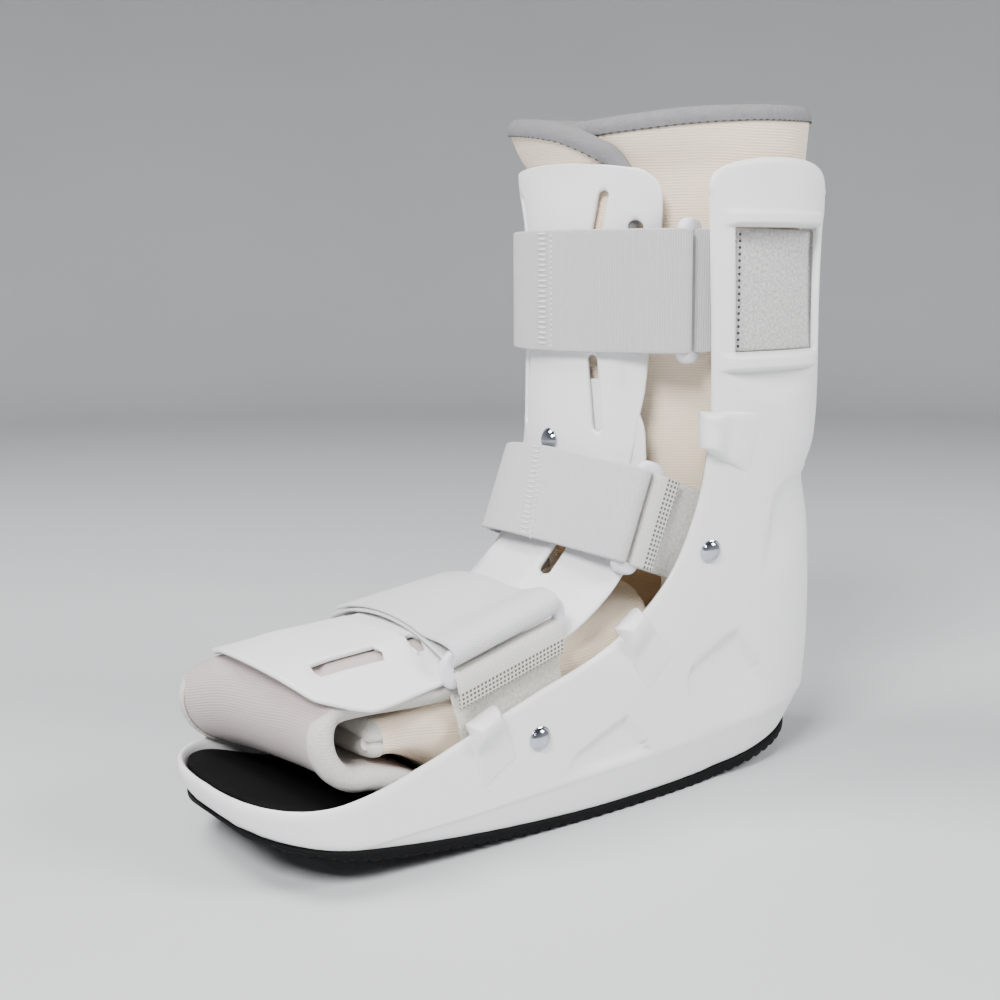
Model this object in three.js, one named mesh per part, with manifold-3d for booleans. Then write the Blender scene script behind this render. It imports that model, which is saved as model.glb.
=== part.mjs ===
// A short walker boot, the rigid kind of ankle brace: a moulded shell with two uprights, a rocker
// tread, a padded wrap liner, two bent front plates and three straps folded back through rings.
// Millimetres, +Z up. The toe points to -Y and the rings are on the near side, +X.
// The origin is on the ground under the middle of the boot.
import * as THREE from 'three';
import { mergeVertices } from 'three/addons/utils/BufferGeometryUtils.js';
import { ConvexGeometry } from 'three/addons/geometries/ConvexGeometry.js';
import Module from 'manifold-3d';

// Thicknesses
const WALL = 3.2; // moulded shell
const PLATE = 2.2; // bent front plates
const WEBBING = 1.6; // strap cloth
const LINER = 8; // padded liner
const INSOLE = 5;
const TREAD = 5; // from the tray's underside to the ground
const GAP = 0.4; // clearance between neighbours
const REACH = 90; // half width of the cutters that pass right through the boot
const DRILL = 24; // length of the cutters for rivet holes

// Main places
const LEG_Y = 74.6; // axis of the leg opening
const TOE_ROUND = 34; // length of the blunt toe's rounding
const TOE_POWER = 2.6; // bluntness of the toe's and the heel's ovals
const HEEL_POWER = 2.8;
const FLAT_FRONT = 18; // the tread is flat on the ground between these
const FLAT_BACK = 64;
const ROCKER_RADIUS = 820; // curve of the sole ahead of the flat
const HEEL_SPRING = 13; // rise of the sole at the heel
const SOLE_ENDS = { toe: -147, heel: 147 };
const OVERRUN = 8; // side outlines run this far past the form they cut
const UPRIGHT_TOP = 261.5;
const LINER_TOP = 285;
const LINER_SEAM = 104; // the leg wrap and the foot part meet here

// The outside of the shell at each level: half width beside the leg, and both ends
const SHELL_LEVELS = [
  { z: -4, side: 44, back: 135, toe: -135 },
  { z: 8, side: 45.5, back: 140, toe: -139 },
  { z: 20, side: 46.5, back: 144, toe: -143 },
  { z: 34, side: 47.5, back: 146.5, toe: -147.4 },
  { z: 70, side: 50.5, back: 146.5, toe: -147.4 },
  { z: 110, side: 55, back: 142.5, toe: -147.4 },
  { z: 150, side: 61, back: 141, toe: -147.4 },
  { z: 185, side: 63.8, back: 142, toe: -147.4 },
  { z: 235, side: 65, back: 143, toe: -147.4 },
  { z: 300, side: 65.4, back: 143.5, toe: -147.4 },
];
// Half width of the foot part ahead of the leg
const FOOT_WIDTHS = [
  { y: -150, half: 53 },
  { y: -80, half: 53 },
  { y: -40, half: 52.2 },
  { y: 0, half: 51.3 },
  { y: 40, half: 49.8 },
  { y: LEG_Y, half: 48 },
];
const LEG_FRONT = 72; // reach of the leg's oval ahead of its axis
const LEG_BLEND = { from: 60, to: 170 }; // heights between the foot's and the leg's form

// Side view of the shell's edge from the top of the upright's front down to the toe rim
const SHELL_EDGE = [
  { y: 47.5, z: 247 },
  { y: 50, z: 190 },
  { y: 52.3, z: 152 },
  { y: 49.8, z: 121 },
  { y: 37.5, z: 93.5 },
  { y: 11, z: 73 },
  { y: -30, z: 58.5 },
  { y: -97, z: 36 },
  { y: -118, z: 32.5 },
  { y: -152, z: 32 },
];
const HEEL_CUP_TOP = 134;
const WING_BACK = 127; // rear edge of the upright
// Rear edge from the heel cup to the upright's top: place behind the edge, height above the cup
const WING_EDGE = [
  { behind: 2, above: 1 },
  { behind: -5, above: 6 },
  { behind: -2.5, above: 13 },
  { behind: 0, above: 22 },
  { behind: 0, above: 109 },
];
const TOP_POWER = 0.55; // squareness of the upright's rounded top
const WINDOW = { front: 58.5, back: 113, bottom: 185, top: 234, corner: 2 };
const RIBS = [
  { bottom: 177.5, top: 184.5 },
  { bottom: 234.5, top: 240.5 },
];
const RIB_ENDS = { front: 54, back: 112 };
const RIB_RISE = 2.4;

// Strap guides: two points on the shell's edge and two where the guide runs out into the wall
const GUIDES = [
  { edge: [[49, 161], [49.5, 143]], run: [[78, 161], [74, 137]] },
  { edge: [[24, 84], [9, 75]], run: [[45, 60], [29, 45]] },
  { edge: [[-46, 56.5], [-61, 51.5]], run: [[-37, 34], [-57, 25]] },
];
const GUIDE_RISE = 4.5;
const GUIDE_LIP = 2;

const TREAD_PITCH = 6;
const TREAD_GROOVE = { width: 2.6, depth: 1.6 };

// Rivets through the shell walls, on both sides
const SHELL_RIVETS = { ankle: { y: 57.5, z: 104 }, foot: { y: -29, z: 41 } };
const RIVET = { head: 5.3, rise: 2.8, shank: 2.5, hole: 2.9, tail: 4.4, tailThick: 1, sides: 8 };
const RIVET_PLAY = 0.9; // room that the curved pieces need under a rivet's flat head and tail
const PLATE_RIVET_PLAY = 1.5;

// Outer surface of the shin plate: half angle round the leg and forward lead of its lower end
const SHIN_RADIUS = 58.8;
const SHIN_ROWS = [
  { z: 133, angle: 27, lead: 3 },
  { z: 142, angle: 37, lead: 1 },
  { z: 155, angle: 40.2, lead: 0 },
  { z: 185, angle: 45, lead: 0 },
  { z: 235, angle: 49.8, lead: 0 },
  { z: 247, angle: 49.6, lead: 0 },
  { z: 255, angle: 46, lead: 0 },
  { z: 259, angle: 40, lead: 0 },
];
const SHIN_SLOTS = [
  { z: 235, angle: 24.5, length: 22 },
  { z: 168, angle: 22.5, length: 32 },
];
const SLOT_WIDTH = 4;
const PLATE_RIVET_Z = 148;

// Outer surface of the instep plate along its middle: half width and how far the sides drop
const INSTEP_ROWS = [
  { y: 18.7, z: 174, half: 24, drop: 5.4 },
  { y: 18.7, z: 168, half: 33, drop: 10.6 },
  { y: 18.6, z: 158, half: 37.5, drop: 14.2 },
  { y: 18.4, z: 148, half: 39, drop: 15.4 },
  { y: 15.8, z: 133, half: 41, drop: 16.5 },
  { y: 9.2, z: 117, half: 43.5, drop: 18 },
  { y: -2, z: 103.5, half: 44.5, drop: 18 },
  { y: -18, z: 89.8, half: 44, drop: 15 },
  { y: -42, z: 85.2, half: 43.5, drop: 13 },
  { y: -72, z: 82, half: 46.4, drop: 14 },
  { y: -100, z: 80, half: 53, drop: 14 },
  { y: -114, z: 78.8, half: 50, drop: 11 },
  { y: -122, z: 78, half: 41, drop: 7 },
  { y: -127, z: 77.4, half: 27, drop: 2.8 },
];
// Slots in the instep plate: place along the boot, half spacing across it, and size
const INSTEP_SLOTS = [
  { y: 1, x: 20.5, length: 20, width: 4 },
  { y: -68.2, x: 25.7, length: 4.5, width: 4.5 },
  { y: -98.6, x: 27.6, length: 28, width: 8 },
];

// Leg wrap: angles from the front, positive to the near side, and the outer flap's rounded corner
const WRAP = {
  start: -32,
  end: 404,
  lap: LINER + 0.7, // the inner flap lies this far under the outer one
  lapFrom: 45, // and comes out to the wall between these
  lapTo: 115,
  cornerFrom: 358,
  cornerDrop: 30,
  frontDrop: 11,
};
const WRAP_SHARES = [0, 0.2, 0.42, 0.53, 0.91, 1]; // heights of the wrap's rows, as shares
const WRAP_FRONT = [
  { z: 100, reach: 51.2 },
  { z: 176, reach: 51.2 },
  { z: 194, reach: 55.4 },
  { z: 258, reach: 55.4 },
  { z: 266, reach: 57.4 },
  { z: 286, reach: 62 },
];
const WRAP_INSET = [
  { z: 100, inset: 12.8 },
  { z: 135, inset: 10 },
  { z: 180, inset: 7.6 },
  { z: 250, inset: 7.6 },
  { z: 284, inset: 3 },
];

const FOOT_INSET = 10; // liner's foot part inside the shell's outer surface
const FOOT_FRONT = -92; // front end of the liner's foot part
const ABOVE_INSTEP = { from: 0.12, widen: 1.6, height: 70 }; // space over the plate, cut from the liner
const FOOT_LAP = 9; // room under the plate for the toe flap
const FOOT_THROAT = { y: 14, high: 70, run: 60, low: 50 }; // side view of the opening to the leg
const FLAP = { start: -95.5, front: -130, back: -58, half: 45, thick: 7.6 };

// Straps: a frame for each (a point on its middle, tilt about X), its arch and its ring.
// In a frame, x is across the boot, y points out of the leg and the webbing's width runs along z.
const ANKLE = {
  origin: [0, 2.8, 128.3],
  tilt: 159.3,
  width: 38,
  half: 46.5,
  drop: 26,
  tabEnd: -33,
  rivet: SHELL_RIVETS.ankle,
  edge: { y: 43, z: 108 },
};
const FOOT = {
  origin: [0, -43, 88.6],
  tilt: 98.5,
  width: 50,
  half: 51,
  drop: 12.5,
  tabEnd: -38,
  rivet: SHELL_RIVETS.foot,
  edge: { y: -36, z: 56 },
};
const CALF = {
  z: 209.3,
  width: 48.6,
  side: 59.3,
  front: 60.6,
  back: 63.4,
  foldAngle: 54,
  loopAngle: 63,
  sewn: 3,
  tabAngle: -38,
};
const RING = { bar: 3.6, bevel: 0.8, spacing: 9.6, end: 4.5 };
const ANCHOR_TAIL = 8; // webbing past the rivet
const SEAT_DEPTH = 1.3; // webbing under the wall's inside at its rivet and at the wall's edge
const RIM_DEPTH = 2.5;

const WHITE = 0xe9eaec;
const GREY = 0xc9c7c5;
const BEIGE = 0xdccfc4;
const BLACK = 0x17171a;
const CHROME = 0xb9bdc4;
const FINISH = {
  plastic: new THREE.MeshStandardMaterial({ color: WHITE, roughness: 0.38, metalness: 0 }),
  webbing: new THREE.MeshStandardMaterial({ color: GREY, roughness: 0.95, metalness: 0 }),
  liner: new THREE.MeshStandardMaterial({ color: BEIGE, roughness: 1, metalness: 0 }),
  rubber: new THREE.MeshStandardMaterial({ color: BLACK, roughness: 0.8, metalness: 0 }),
  metal: new THREE.MeshStandardMaterial({ color: CHROME, roughness: 0.15, metalness: 1 }),
};

const wasm = await Module();
wasm.setup();
const X_AXIS = new THREE.Vector3(1, 0, 0);
const Y_AXIS = new THREE.Vector3(0, 1, 0);
const Z_AXIS = new THREE.Vector3(0, 0, 1);
const SIDES = [1, -1];

// A smooth curve through a table's rows, from one named column to another
function tableCurve(rows, input, output) {
  const xs = rows.map((row) => row[input]);
  const ys = rows.map((row) => row[output]);
  const last = xs.length - 1;
  const slopes = xs.map((x, i) => {
    const a = Math.max(i - 1, 0);
    const b = Math.min(i + 1, last);
    return (ys[b] - ys[a]) / (xs[b] - xs[a]);
  });
  return (x) => {
    const held = THREE.MathUtils.clamp(x, xs[0], xs[last]);
    const i = Math.min(xs.findLastIndex((value) => value <= held), last - 1);
    const h = xs[i + 1] - xs[i];
    const t = (held - xs[i]) / h;
    const rise = t * t * (3 - 2 * t);
    const bend = t * (1 - t) * h;
    return ys[i] + (ys[i + 1] - ys[i]) * rise + bend * (slopes[i] * (1 - t) - slopes[i + 1] * t);
  };
}

// Closed geometry from vertices and triangles, turned so that its faces point out
function closedGeometry(vertices, triangles) {
  const [a, b, c] = [0, 1, 2].map(() => new THREE.Vector3());
  const volume = triangles.reduce((sum, [i, j, k]) => {
    a.copy(vertices[i]);
    b.copy(vertices[j]);
    c.copy(vertices[k]);
    return sum + a.dot(b.cross(c));
  }, 0);
  const outward = volume > 0 ? triangles : triangles.map(([i, j, k]) => [i, k, j]);
  const geometry = new THREE.BufferGeometry();
  geometry.setFromPoints(vertices);
  geometry.setIndex(outward.flat());
  geometry.computeVertexNormals();
  return geometry;
}

function toSolid(geometry) {
  const bare = geometry.clone();
  bare.deleteAttribute('normal');
  bare.deleteAttribute('uv');
  const merged = mergeVertices(bare, 1e-4);
  const vertProperties = Float32Array.from(merged.attributes.position.array);
  const triVerts = Uint32Array.from(merged.index.array);
  return new wasm.Manifold(new wasm.Mesh({ numProp: 3, vertProperties, triVerts }));
}

function toGeometry(solid) {
  const { vertProperties, triVerts } = solid.getMesh();
  const geometry = new THREE.BufferGeometry();
  geometry.setAttribute('position', new THREE.BufferAttribute(Float32Array.from(vertProperties), 3));
  geometry.setIndex(Array.from(triVerts));
  geometry.computeVertexNormals();
  return geometry;
}

// A thick sheet: the surface takes two values from 0 to 1 and the thickness goes to its back
function thickSheet(surface, columns, rows, thickness) {
  const step = 1e-3;
  const vertices = [];
  const back = [];
  for (let j = 0; j <= rows; j += 1) {
    for (let i = 0; i <= columns; i += 1) {
      const u = i / columns;
      const v = j / rows;
      const point = surface(u, v);
      const u0 = Math.max(u - step, 0);
      const u1 = Math.min(u + step, 1);
      const v0 = Math.max(v - step, 0);
      const v1 = Math.min(v + step, 1);
      const alongU = surface(u1, v).sub(surface(u0, v));
      const alongV = surface(u, v1).sub(surface(u, v0));
      const normal = alongU.cross(alongV).normalize();
      vertices.push(point);
      back.push(point.clone().addScaledVector(normal, -thickness));
    }
  }
  const layer = vertices.length;
  const at = (i, j, side) => j * (columns + 1) + i + side * layer;
  const triangles = [];
  const quad = (a, b, c, d) => triangles.push([a, b, c], [a, c, d]);
  for (let j = 0; j < rows; j += 1) {
    for (let i = 0; i < columns; i += 1) {
      quad(at(i, j, 0), at(i + 1, j, 0), at(i + 1, j + 1, 0), at(i, j + 1, 0));
      quad(at(i, j + 1, 1), at(i + 1, j + 1, 1), at(i + 1, j, 1), at(i, j, 1));
    }
    quad(at(0, j, 1), at(0, j, 0), at(0, j + 1, 0), at(0, j + 1, 1));
    quad(at(columns, j, 0), at(columns, j, 1), at(columns, j + 1, 1), at(columns, j + 1, 0));
  }
  for (let i = 0; i < columns; i += 1) {
    quad(at(i, 0, 1), at(i + 1, 0, 1), at(i + 1, 0, 0), at(i, 0, 0));
    quad(at(i, rows, 0), at(i + 1, rows, 0), at(i + 1, rows, 1), at(i, rows, 1));
  }
  return closedGeometry([...vertices, ...back], triangles);
}

// An outline in the side view (y across the page, z up it), extruded across the boot
function sidePrism(points, halfWidth) {
  const shape = new THREE.Shape(points.map(([y, z]) => new THREE.Vector2(y, z)));
  const geometry = new THREE.ExtrudeGeometry(shape, { depth: 2 * halfWidth, bevelEnabled: false });
  geometry.translate(0, 0, -halfWidth);
  return geometry.applyMatrix4(new THREE.Matrix4().makeBasis(Y_AXIS, Z_AXIS, X_AXIS));
}

const samples = (count, at) => Array.from({ length: count + 1 }, (_, i) => at(i / count));

// Shape of the boot
const shellSide = tableCurve(SHELL_LEVELS, 'z', 'side');
const shellBack = tableCurve(SHELL_LEVELS, 'z', 'back');
const shellToe = tableCurve(SHELL_LEVELS, 'z', 'toe');
const footWidth = tableCurve(FOOT_WIDTHS, 'y', 'half');

// Half width of the shell's outside: an oval behind the leg's axis, the foot's outline ahead of it
function halfWidth(y, z) {
  const side = shellSide(z);
  if (y >= LEG_Y) {
    const t = (y - LEG_Y) / (shellBack(z) - LEG_Y);
    return side * Math.sqrt(Math.max(1 - t ** HEEL_POWER, 0));
  }
  const oval = side * Math.sqrt(Math.max(1 - ((LEG_Y - y) / LEG_FRONT) ** 2, 0.1));
  const toe = Math.max(shellToe(z) + TOE_ROUND - y, 0) / TOE_ROUND;
  const ease = (LEG_Y - y) / LEG_Y;
  const widen = side - footWidth(LEG_Y);
  const foot = footWidth(y) + widen * Math.max(1 - ease, 0) ** 2;
  const rounded = foot * Math.max(1 - toe ** TOE_POWER, 0) ** (1 / TOE_POWER);
  return THREE.MathUtils.lerp(rounded, oval, THREE.MathUtils.smoothstep(z, LEG_BLEND.from, LEG_BLEND.to));
}

// A solid with the boot's horizontal sections, moved inward by an inset
function bootSolid(inset, levels) {
  const count = 16;
  const rings = levels.map((z) => {
    const toe = shellToe(z);
    const back = shellBack(z);
    const near = samples(count, (t) => {
      const y = THREE.MathUtils.lerp(toe, back, (1 - Math.cos(Math.PI * t)) / 2);
      return new THREE.Vector2(halfWidth(y, z), y);
    });
    return near.map((point, i) => {
      const before = near[Math.max(i - 1, 0)];
      const after = near[Math.min(i + 1, count)];
      const run = after.clone().sub(before).normalize();
      const inward = i === 0 || i === count ? 0 : run.y;
      const lean = i === 0 ? -1 : i === count ? 1 : -run.x;
      const x = Math.max(point.x - inset * inward, 0);
      return new THREE.Vector3(x, point.y - inset * lean, z);
    });
  });
  const vertices = [];
  const ringSize = 2 * count;
  for (const ring of rings) {
    vertices.push(...ring);
    for (let i = count - 1; i > 0; i -= 1) vertices.push(ring[i].clone().setX(-ring[i].x));
  }
  const triangles = [];
  for (let k = 0; k < rings.length - 1; k += 1) {
    for (let i = 0; i < ringSize; i += 1) {
      const a = k * ringSize + i;
      const b = k * ringSize + ((i + 1) % ringSize);
      triangles.push([a, b, b + ringSize], [a, b + ringSize, a + ringSize]);
    }
  }
  for (const [start, turn] of [[0, 1], [(rings.length - 1) * ringSize, -1]]) {
    const corner = (i) => start + ((i + ringSize) % ringSize);
    const face = (a, b, c) => triangles.push(turn > 0 ? [c, b, a] : [a, b, c]);
    face(corner(0), corner(1), corner(-1));
    for (let i = 1; i < count - 1; i += 1) {
      face(corner(i), corner(i + 1), corner(-i));
      face(corner(i + 1), corner(-i - 1), corner(-i));
    }
    face(corner(count - 1), corner(count), corner(1 - count));
  }
  return toSolid(closedGeometry(vertices, triangles));
}

// Underside of the tray, with the toe and heel springing off the ground
function trayBottom(y) {
  const ahead = Math.max(FLAT_FRONT - y, 0);
  const heel = Math.max((y - FLAT_BACK) / (SOLE_ENDS.heel - FLAT_BACK), 0);
  return TREAD + ahead ** 2 / (2 * ROCKER_RADIUS) + HEEL_SPRING * heel ** 1.4;
}
const trayLine = (lift) =>
  samples(18, (t) => {
    const y = THREE.MathUtils.lerp(SOLE_ENDS.toe - OVERRUN, SOLE_ENDS.heel + OVERRUN, t);
    return [y, trayBottom(y) + lift];
  });

// Shell: the boot's form between two surfaces, cut to its side outline
function shellGeometry() {
  const levels = [-3, 12, 24, 34, 60, 85, 110, 140, 163, 190, 263];
  const edge = new THREE.SplineCurve(SHELL_EDGE.slice(0, 7).map(({ y, z }) => new THREE.Vector2(y, z)));
  const front = edge.getPoints(18).map(({ x, y }) => [x, y]);
  const rim = SHELL_EDGE.slice(7).map(({ y, z }) => [y, z]);
  const corner = SHELL_EDGE[0];
  const middle = (corner.y + WING_BACK) / 2;
  const reach = (WING_BACK - corner.y) / 2;
  const top = samples(9, (t) => {
    const angle = Math.PI * THREE.MathUtils.lerp(0.06, 0.94, t);
    const lift = (UPRIGHT_TOP - corner.z) * Math.sin(angle) ** TOP_POWER;
    return [middle + reach * Math.cos(angle), corner.z + lift];
  });
  const wing = WING_EDGE.map(({ behind, above }) => [WING_BACK + behind, HEEL_CUP_TOP + above]);
  const cup = [[SOLE_ENDS.heel + OVERRUN, HEEL_CUP_TOP]];
  const outline = [...trayLine(0), ...cup, ...wing, ...top, ...front, ...rim];
  const aboveAll = UPRIGHT_TOP + OVERRUN;
  const inside = [
    ...trayLine(WALL),
    [SOLE_ENDS.heel + OVERRUN, aboveAll],
    [SOLE_ENDS.toe - OVERRUN, aboveAll],
  ];
  const cavity = bootSolid(WALL, levels).intersect(toSolid(sidePrism(inside, REACH)));
  let shell = bootSolid(0, levels).intersect(toSolid(sidePrism(outline, REACH)));
  const ribLevels = [170, 185, 210, 235, 248];
  const ribForm = bootSolid(-RIB_RISE, ribLevels).subtract(bootSolid(WALL / 2, [160, ...ribLevels, 255]));
  for (const { bottom, top: high } of RIBS) {
    const { front: y0, back: y1 } = RIB_ENDS;
    const band = [[y0, bottom], [y1, bottom], [y1, high], [y0, high]];
    shell = shell.add(ribForm.intersect(toSolid(sidePrism(band, REACH))));
  }
  for (const side of SIDES) {
    for (const { edge: nub, run } of GUIDES) {
      const at = ([y, z], lift) => new THREE.Vector3(side * (halfWidth(y, z) + lift), y, z);
      const lip = nub.map(([y, z]) => [y - GUIDE_LIP, z + GUIDE_LIP * 0.6]);
      const raised = [...nub.map((p) => at(p, GUIDE_RISE)), ...lip.map((p) => at(p, GUIDE_RISE * 0.7))];
      const root = [...lip.map((p) => at(p, -WALL)), ...nub.map((p) => at(p, -WALL * 0.8))];
      const flush = run.map((p) => at(p, -WALL * 0.3));
      shell = shell.add(toSolid(new ConvexGeometry([...raised, ...root, ...flush])));
    }
  }
  const { front: w0, back: w1, bottom: low, top: high, corner: cut } = WINDOW;
  const opening = [
    [w0 + cut, low], [w1 - cut, low], [w1, low + cut], [w1, high - cut],
    [w1 - cut, high], [w0 + cut, high], [w0, high - cut], [w0, low + cut],
  ];
  shell = shell.subtract(cavity).subtract(toSolid(sidePrism(opening, REACH)));
  for (const { y, z } of Object.values(SHELL_RIVETS)) {
    for (const side of SIDES) shell = shell.subtract(toSolid(rivetHole(y, z, side)));
  }
  return toGeometry(shell);
}

// Place and outward direction of the shell's wall
function wallFrame(y, z, side) {
  const slopeY = halfWidth(y + 1, z) - halfWidth(y - 1, z);
  const slopeZ = halfWidth(y, z + 1) - halfWidth(y, z - 1);
  const normal = new THREE.Vector3(side, -slopeY / 2, -slopeZ / 2).normalize();
  return { point: new THREE.Vector3(side * halfWidth(y, z), y, z), normal };
}

function rivetHole(y, z, side) {
  const { point, normal } = wallFrame(y, z, side);
  const hole = new THREE.CylinderGeometry(RIVET.hole, RIVET.hole, DRILL, RIVET.sides);
  hole.applyQuaternion(new THREE.Quaternion().setFromUnitVectors(Y_AXIS, normal));
  return hole.translate(point.x, point.y, point.z);
}

// A domed rivet: head above the origin, shank and tail below it along -Y
function rivetGeometry(grip) {
  const dome = samples(3, (t) => {
    const angle = (t * Math.PI) / 2;
    return new THREE.Vector2(RIVET.head * Math.cos(angle), RIVET.rise * Math.sin(angle));
  });
  dome[dome.length - 1].x = 0;
  const profile = [
    new THREE.Vector2(0, -grip - RIVET.tailThick),
    new THREE.Vector2(RIVET.tail, -grip - RIVET.tailThick),
    new THREE.Vector2(RIVET.tail, -grip),
    new THREE.Vector2(RIVET.shank, -grip),
    new THREE.Vector2(RIVET.shank, 0),
    ...dome,
  ];
  return new THREE.LatheGeometry(profile, RIVET.sides);
}

// Tread: a rocker sole with cross grooves, inside the shell's outline
function outsoleGeometry() {
  const top = trayLine(-GAP);
  const bottom = [];
  const { width, depth } = TREAD_GROOVE;
  const teeth = Math.round((SOLE_ENDS.heel - SOLE_ENDS.toe) / TREAD_PITCH / 2);
  for (let i = teeth; i >= -teeth; i -= 1) {
    const y = i * TREAD_PITCH;
    const ground = Math.max(trayBottom(y + TREAD_PITCH / 4), trayBottom(y - TREAD_PITCH / 4)) - TREAD;
    const half = (TREAD_PITCH - width) / 2;
    bottom.push([y + half + 0.4, ground + depth], [y + half, ground], [y - half, ground]);
    bottom.push([y - half - 0.4, ground + depth]);
  }
  const form = bootSolid(1, [-4, 8, 20, 34]);
  return toGeometry(form.intersect(toSolid(sidePrism([...top, ...bottom], REACH))));
}

function insoleGeometry() {
  const floor = WALL + GAP;
  const pad = [...trayLine(floor), ...trayLine(floor + INSOLE).reverse()];
  const form = bootSolid(WALL + GAP, [-3, 9, 20, 34, 48]);
  return toGeometry(form.intersect(toSolid(sidePrism(pad, REACH))));
}

// Leg wrap: one padded sheet wound from inside the near front round the back and over the front
const wrapReach = tableCurve(WRAP_FRONT, 'z', 'reach');
const wrapInset = tableCurve(WRAP_INSET, 'z', 'inset');

// Round the leg: a circle at the front, easing out to an oval at the sides and back
function wrapPoint(turn, z) {
  const angle = THREE.MathUtils.degToRad(turn);
  const inset = wrapInset(z);
  const front = wrapReach(z);
  const side = shellSide(z) - inset;
  const back = shellBack(z) - inset - LEG_Y;
  const oval = 1 / Math.hypot(Math.sin(angle) / side, Math.cos(angle) / back);
  const toSide = THREE.MathUtils.smoothstep(-Math.cos(angle), -0.66, 0);
  const lap = WRAP.lap * (1 - THREE.MathUtils.smoothstep(turn, WRAP.lapFrom, WRAP.lapTo));
  const radius = THREE.MathUtils.lerp(front, Math.cos(angle) > 0 ? side : oval, toSide) - lap;
  return new THREE.Vector3(radius * Math.sin(angle), LEG_Y - radius * Math.cos(angle), z);
}

function linerLegGeometry() {
  const rows = WRAP_SHARES.length - 1;
  const shareAt = (v) => {
    const i = Math.min(Math.floor(v * rows), rows - 1);
    return THREE.MathUtils.lerp(WRAP_SHARES[i], WRAP_SHARES[i + 1], v * rows - i);
  };
  const surface = (u, v) => {
    const turn = THREE.MathUtils.lerp(WRAP.start, WRAP.end, u);
    const corner = Math.max((turn - WRAP.cornerFrom) / (WRAP.end - WRAP.cornerFrom), 0);
    const back = (1 - Math.cos(THREE.MathUtils.degToRad(turn))) / 2;
    const fall = WRAP.cornerDrop * (1 - Math.sqrt(1 - (0.98 * corner) ** 2));
    const top = LINER_TOP - WRAP.frontDrop * (1 - back) - fall;
    return wrapPoint(turn, THREE.MathUtils.lerp(LINER_SEAM + 3 * GAP, top, shareAt(v)));
  };
  return thickSheet(surface, 42, rows, LINER);
}

// Front plates
const shinAngle = tableCurve(SHIN_ROWS, 'z', 'angle');
const shinLead = tableCurve(SHIN_ROWS, 'z', 'lead');
function shinPoint(angle, z) {
  const turn = THREE.MathUtils.degToRad(angle);
  const y = LEG_Y - shinLead(z) - SHIN_RADIUS * Math.cos(turn);
  return new THREE.Vector3(SHIN_RADIUS * Math.sin(turn), y, z);
}

// A slot cutter with round ends, its length along one direction and its depth along the normal
function slotCutter(centre, normal, along, length, width) {
  const shape = new THREE.Shape();
  const straight = Math.max(length - width, 0.2) / 2;
  shape.absarc(0, straight, width / 2, 0, Math.PI, false);
  shape.absarc(0, -straight, width / 2, Math.PI, 2 * Math.PI, false);
  const depth = 4 * PLATE;
  const cutter = new THREE.ExtrudeGeometry(shape, { depth, bevelEnabled: false, curveSegments: 2 });
  cutter.translate(0, 0, -depth / 2);
  const across = along.clone().cross(normal).normalize();
  const basis = new THREE.Matrix4().makeBasis(across, normal.clone().cross(across), normal);
  return cutter.applyMatrix4(basis.setPosition(centre));
}

function shinPlateGeometry() {
  const first = SHIN_ROWS[0].z;
  const last = SHIN_ROWS.at(-1).z;
  const surface = (u, v) => {
    const z = THREE.MathUtils.lerp(first, last, v);
    return shinPoint(shinAngle(z) * (2 * u - 1), z);
  };
  let plate = toSolid(thickSheet(surface, 8, 10, PLATE));
  for (const { z, angle, length } of SHIN_SLOTS) {
    for (const side of SIDES) {
      const centre = shinPoint(side * angle, z);
      const normal = new THREE.Vector3(centre.x, centre.y - LEG_Y, 0).normalize();
      plate = plate.subtract(toSolid(slotCutter(centre, normal, Z_AXIS, length, SLOT_WIDTH)));
    }
  }
  return toGeometry(plate.subtract(toSolid(plateRivetHole())));
}

function plateRivetHole() {
  const hole = new THREE.CylinderGeometry(RIVET.hole, RIVET.hole, DRILL, RIVET.sides);
  return hole.translate(0, LEG_Y - SHIN_RADIUS, PLATE_RIVET_Z);
}

// The instep plate's surface: along its middle line, then an arc across it
const instepRows = INSTEP_ROWS.map((row, i) => ({ ...row, t: i / (INSTEP_ROWS.length - 1) }));
const instepLine = new THREE.CatmullRomCurve3(INSTEP_ROWS.map(({ y, z }) => new THREE.Vector3(0, y, z)));
const instepHalf = tableCurve(instepRows, 't', 'half');
const instepDrop = tableCurve(instepRows, 't', 'drop');
function instepPoint(along, across, lower = 0, widen = 1) {
  const half = instepHalf(along);
  const drop = instepDrop(along);
  const radius = (half * half + drop * drop) / (2 * drop);
  const turn = Math.asin(Math.min(half / radius, 1)) * across * widen;
  const run = instepLine.getTangent(along);
  const out = new THREE.Vector3(0, run.z, -run.y);
  const point = instepLine.getPoint(along);
  point.addScaledVector(out, (radius - lower) * Math.cos(turn) - radius);
  return point.setX((radius - lower) * Math.sin(turn));
}

// Place along the middle line that lies at y, on the foot
function instepAlong(y) {
  const foot = instepRows.filter((row) => row.z < 150).reverse();
  return tableCurve(foot, 'y', 't')(y);
}

function instepPlateGeometry() {
  const surface = (u, v) => instepPoint(v, 1 - 2 * u);
  let plate = toSolid(thickSheet(surface, 8, 16, PLATE));
  for (const { y, x, length, width } of INSTEP_SLOTS) {
    const along = instepAlong(y);
    for (const side of SIDES) {
      const across = (side * x) / instepHalf(along);
      const centre = instepPoint(along, across);
      const normal = centre.clone().sub(instepPoint(along, across, PLATE)).normalize();
      const run = instepPoint(along + 0.01, across).sub(instepPoint(along - 0.01, across)).normalize();
      plate = plate.subtract(toSolid(slotCutter(centre, normal, run, length, width)));
    }
  }
  return toGeometry(plate.subtract(toSolid(plateRivetHole())));
}

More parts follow.
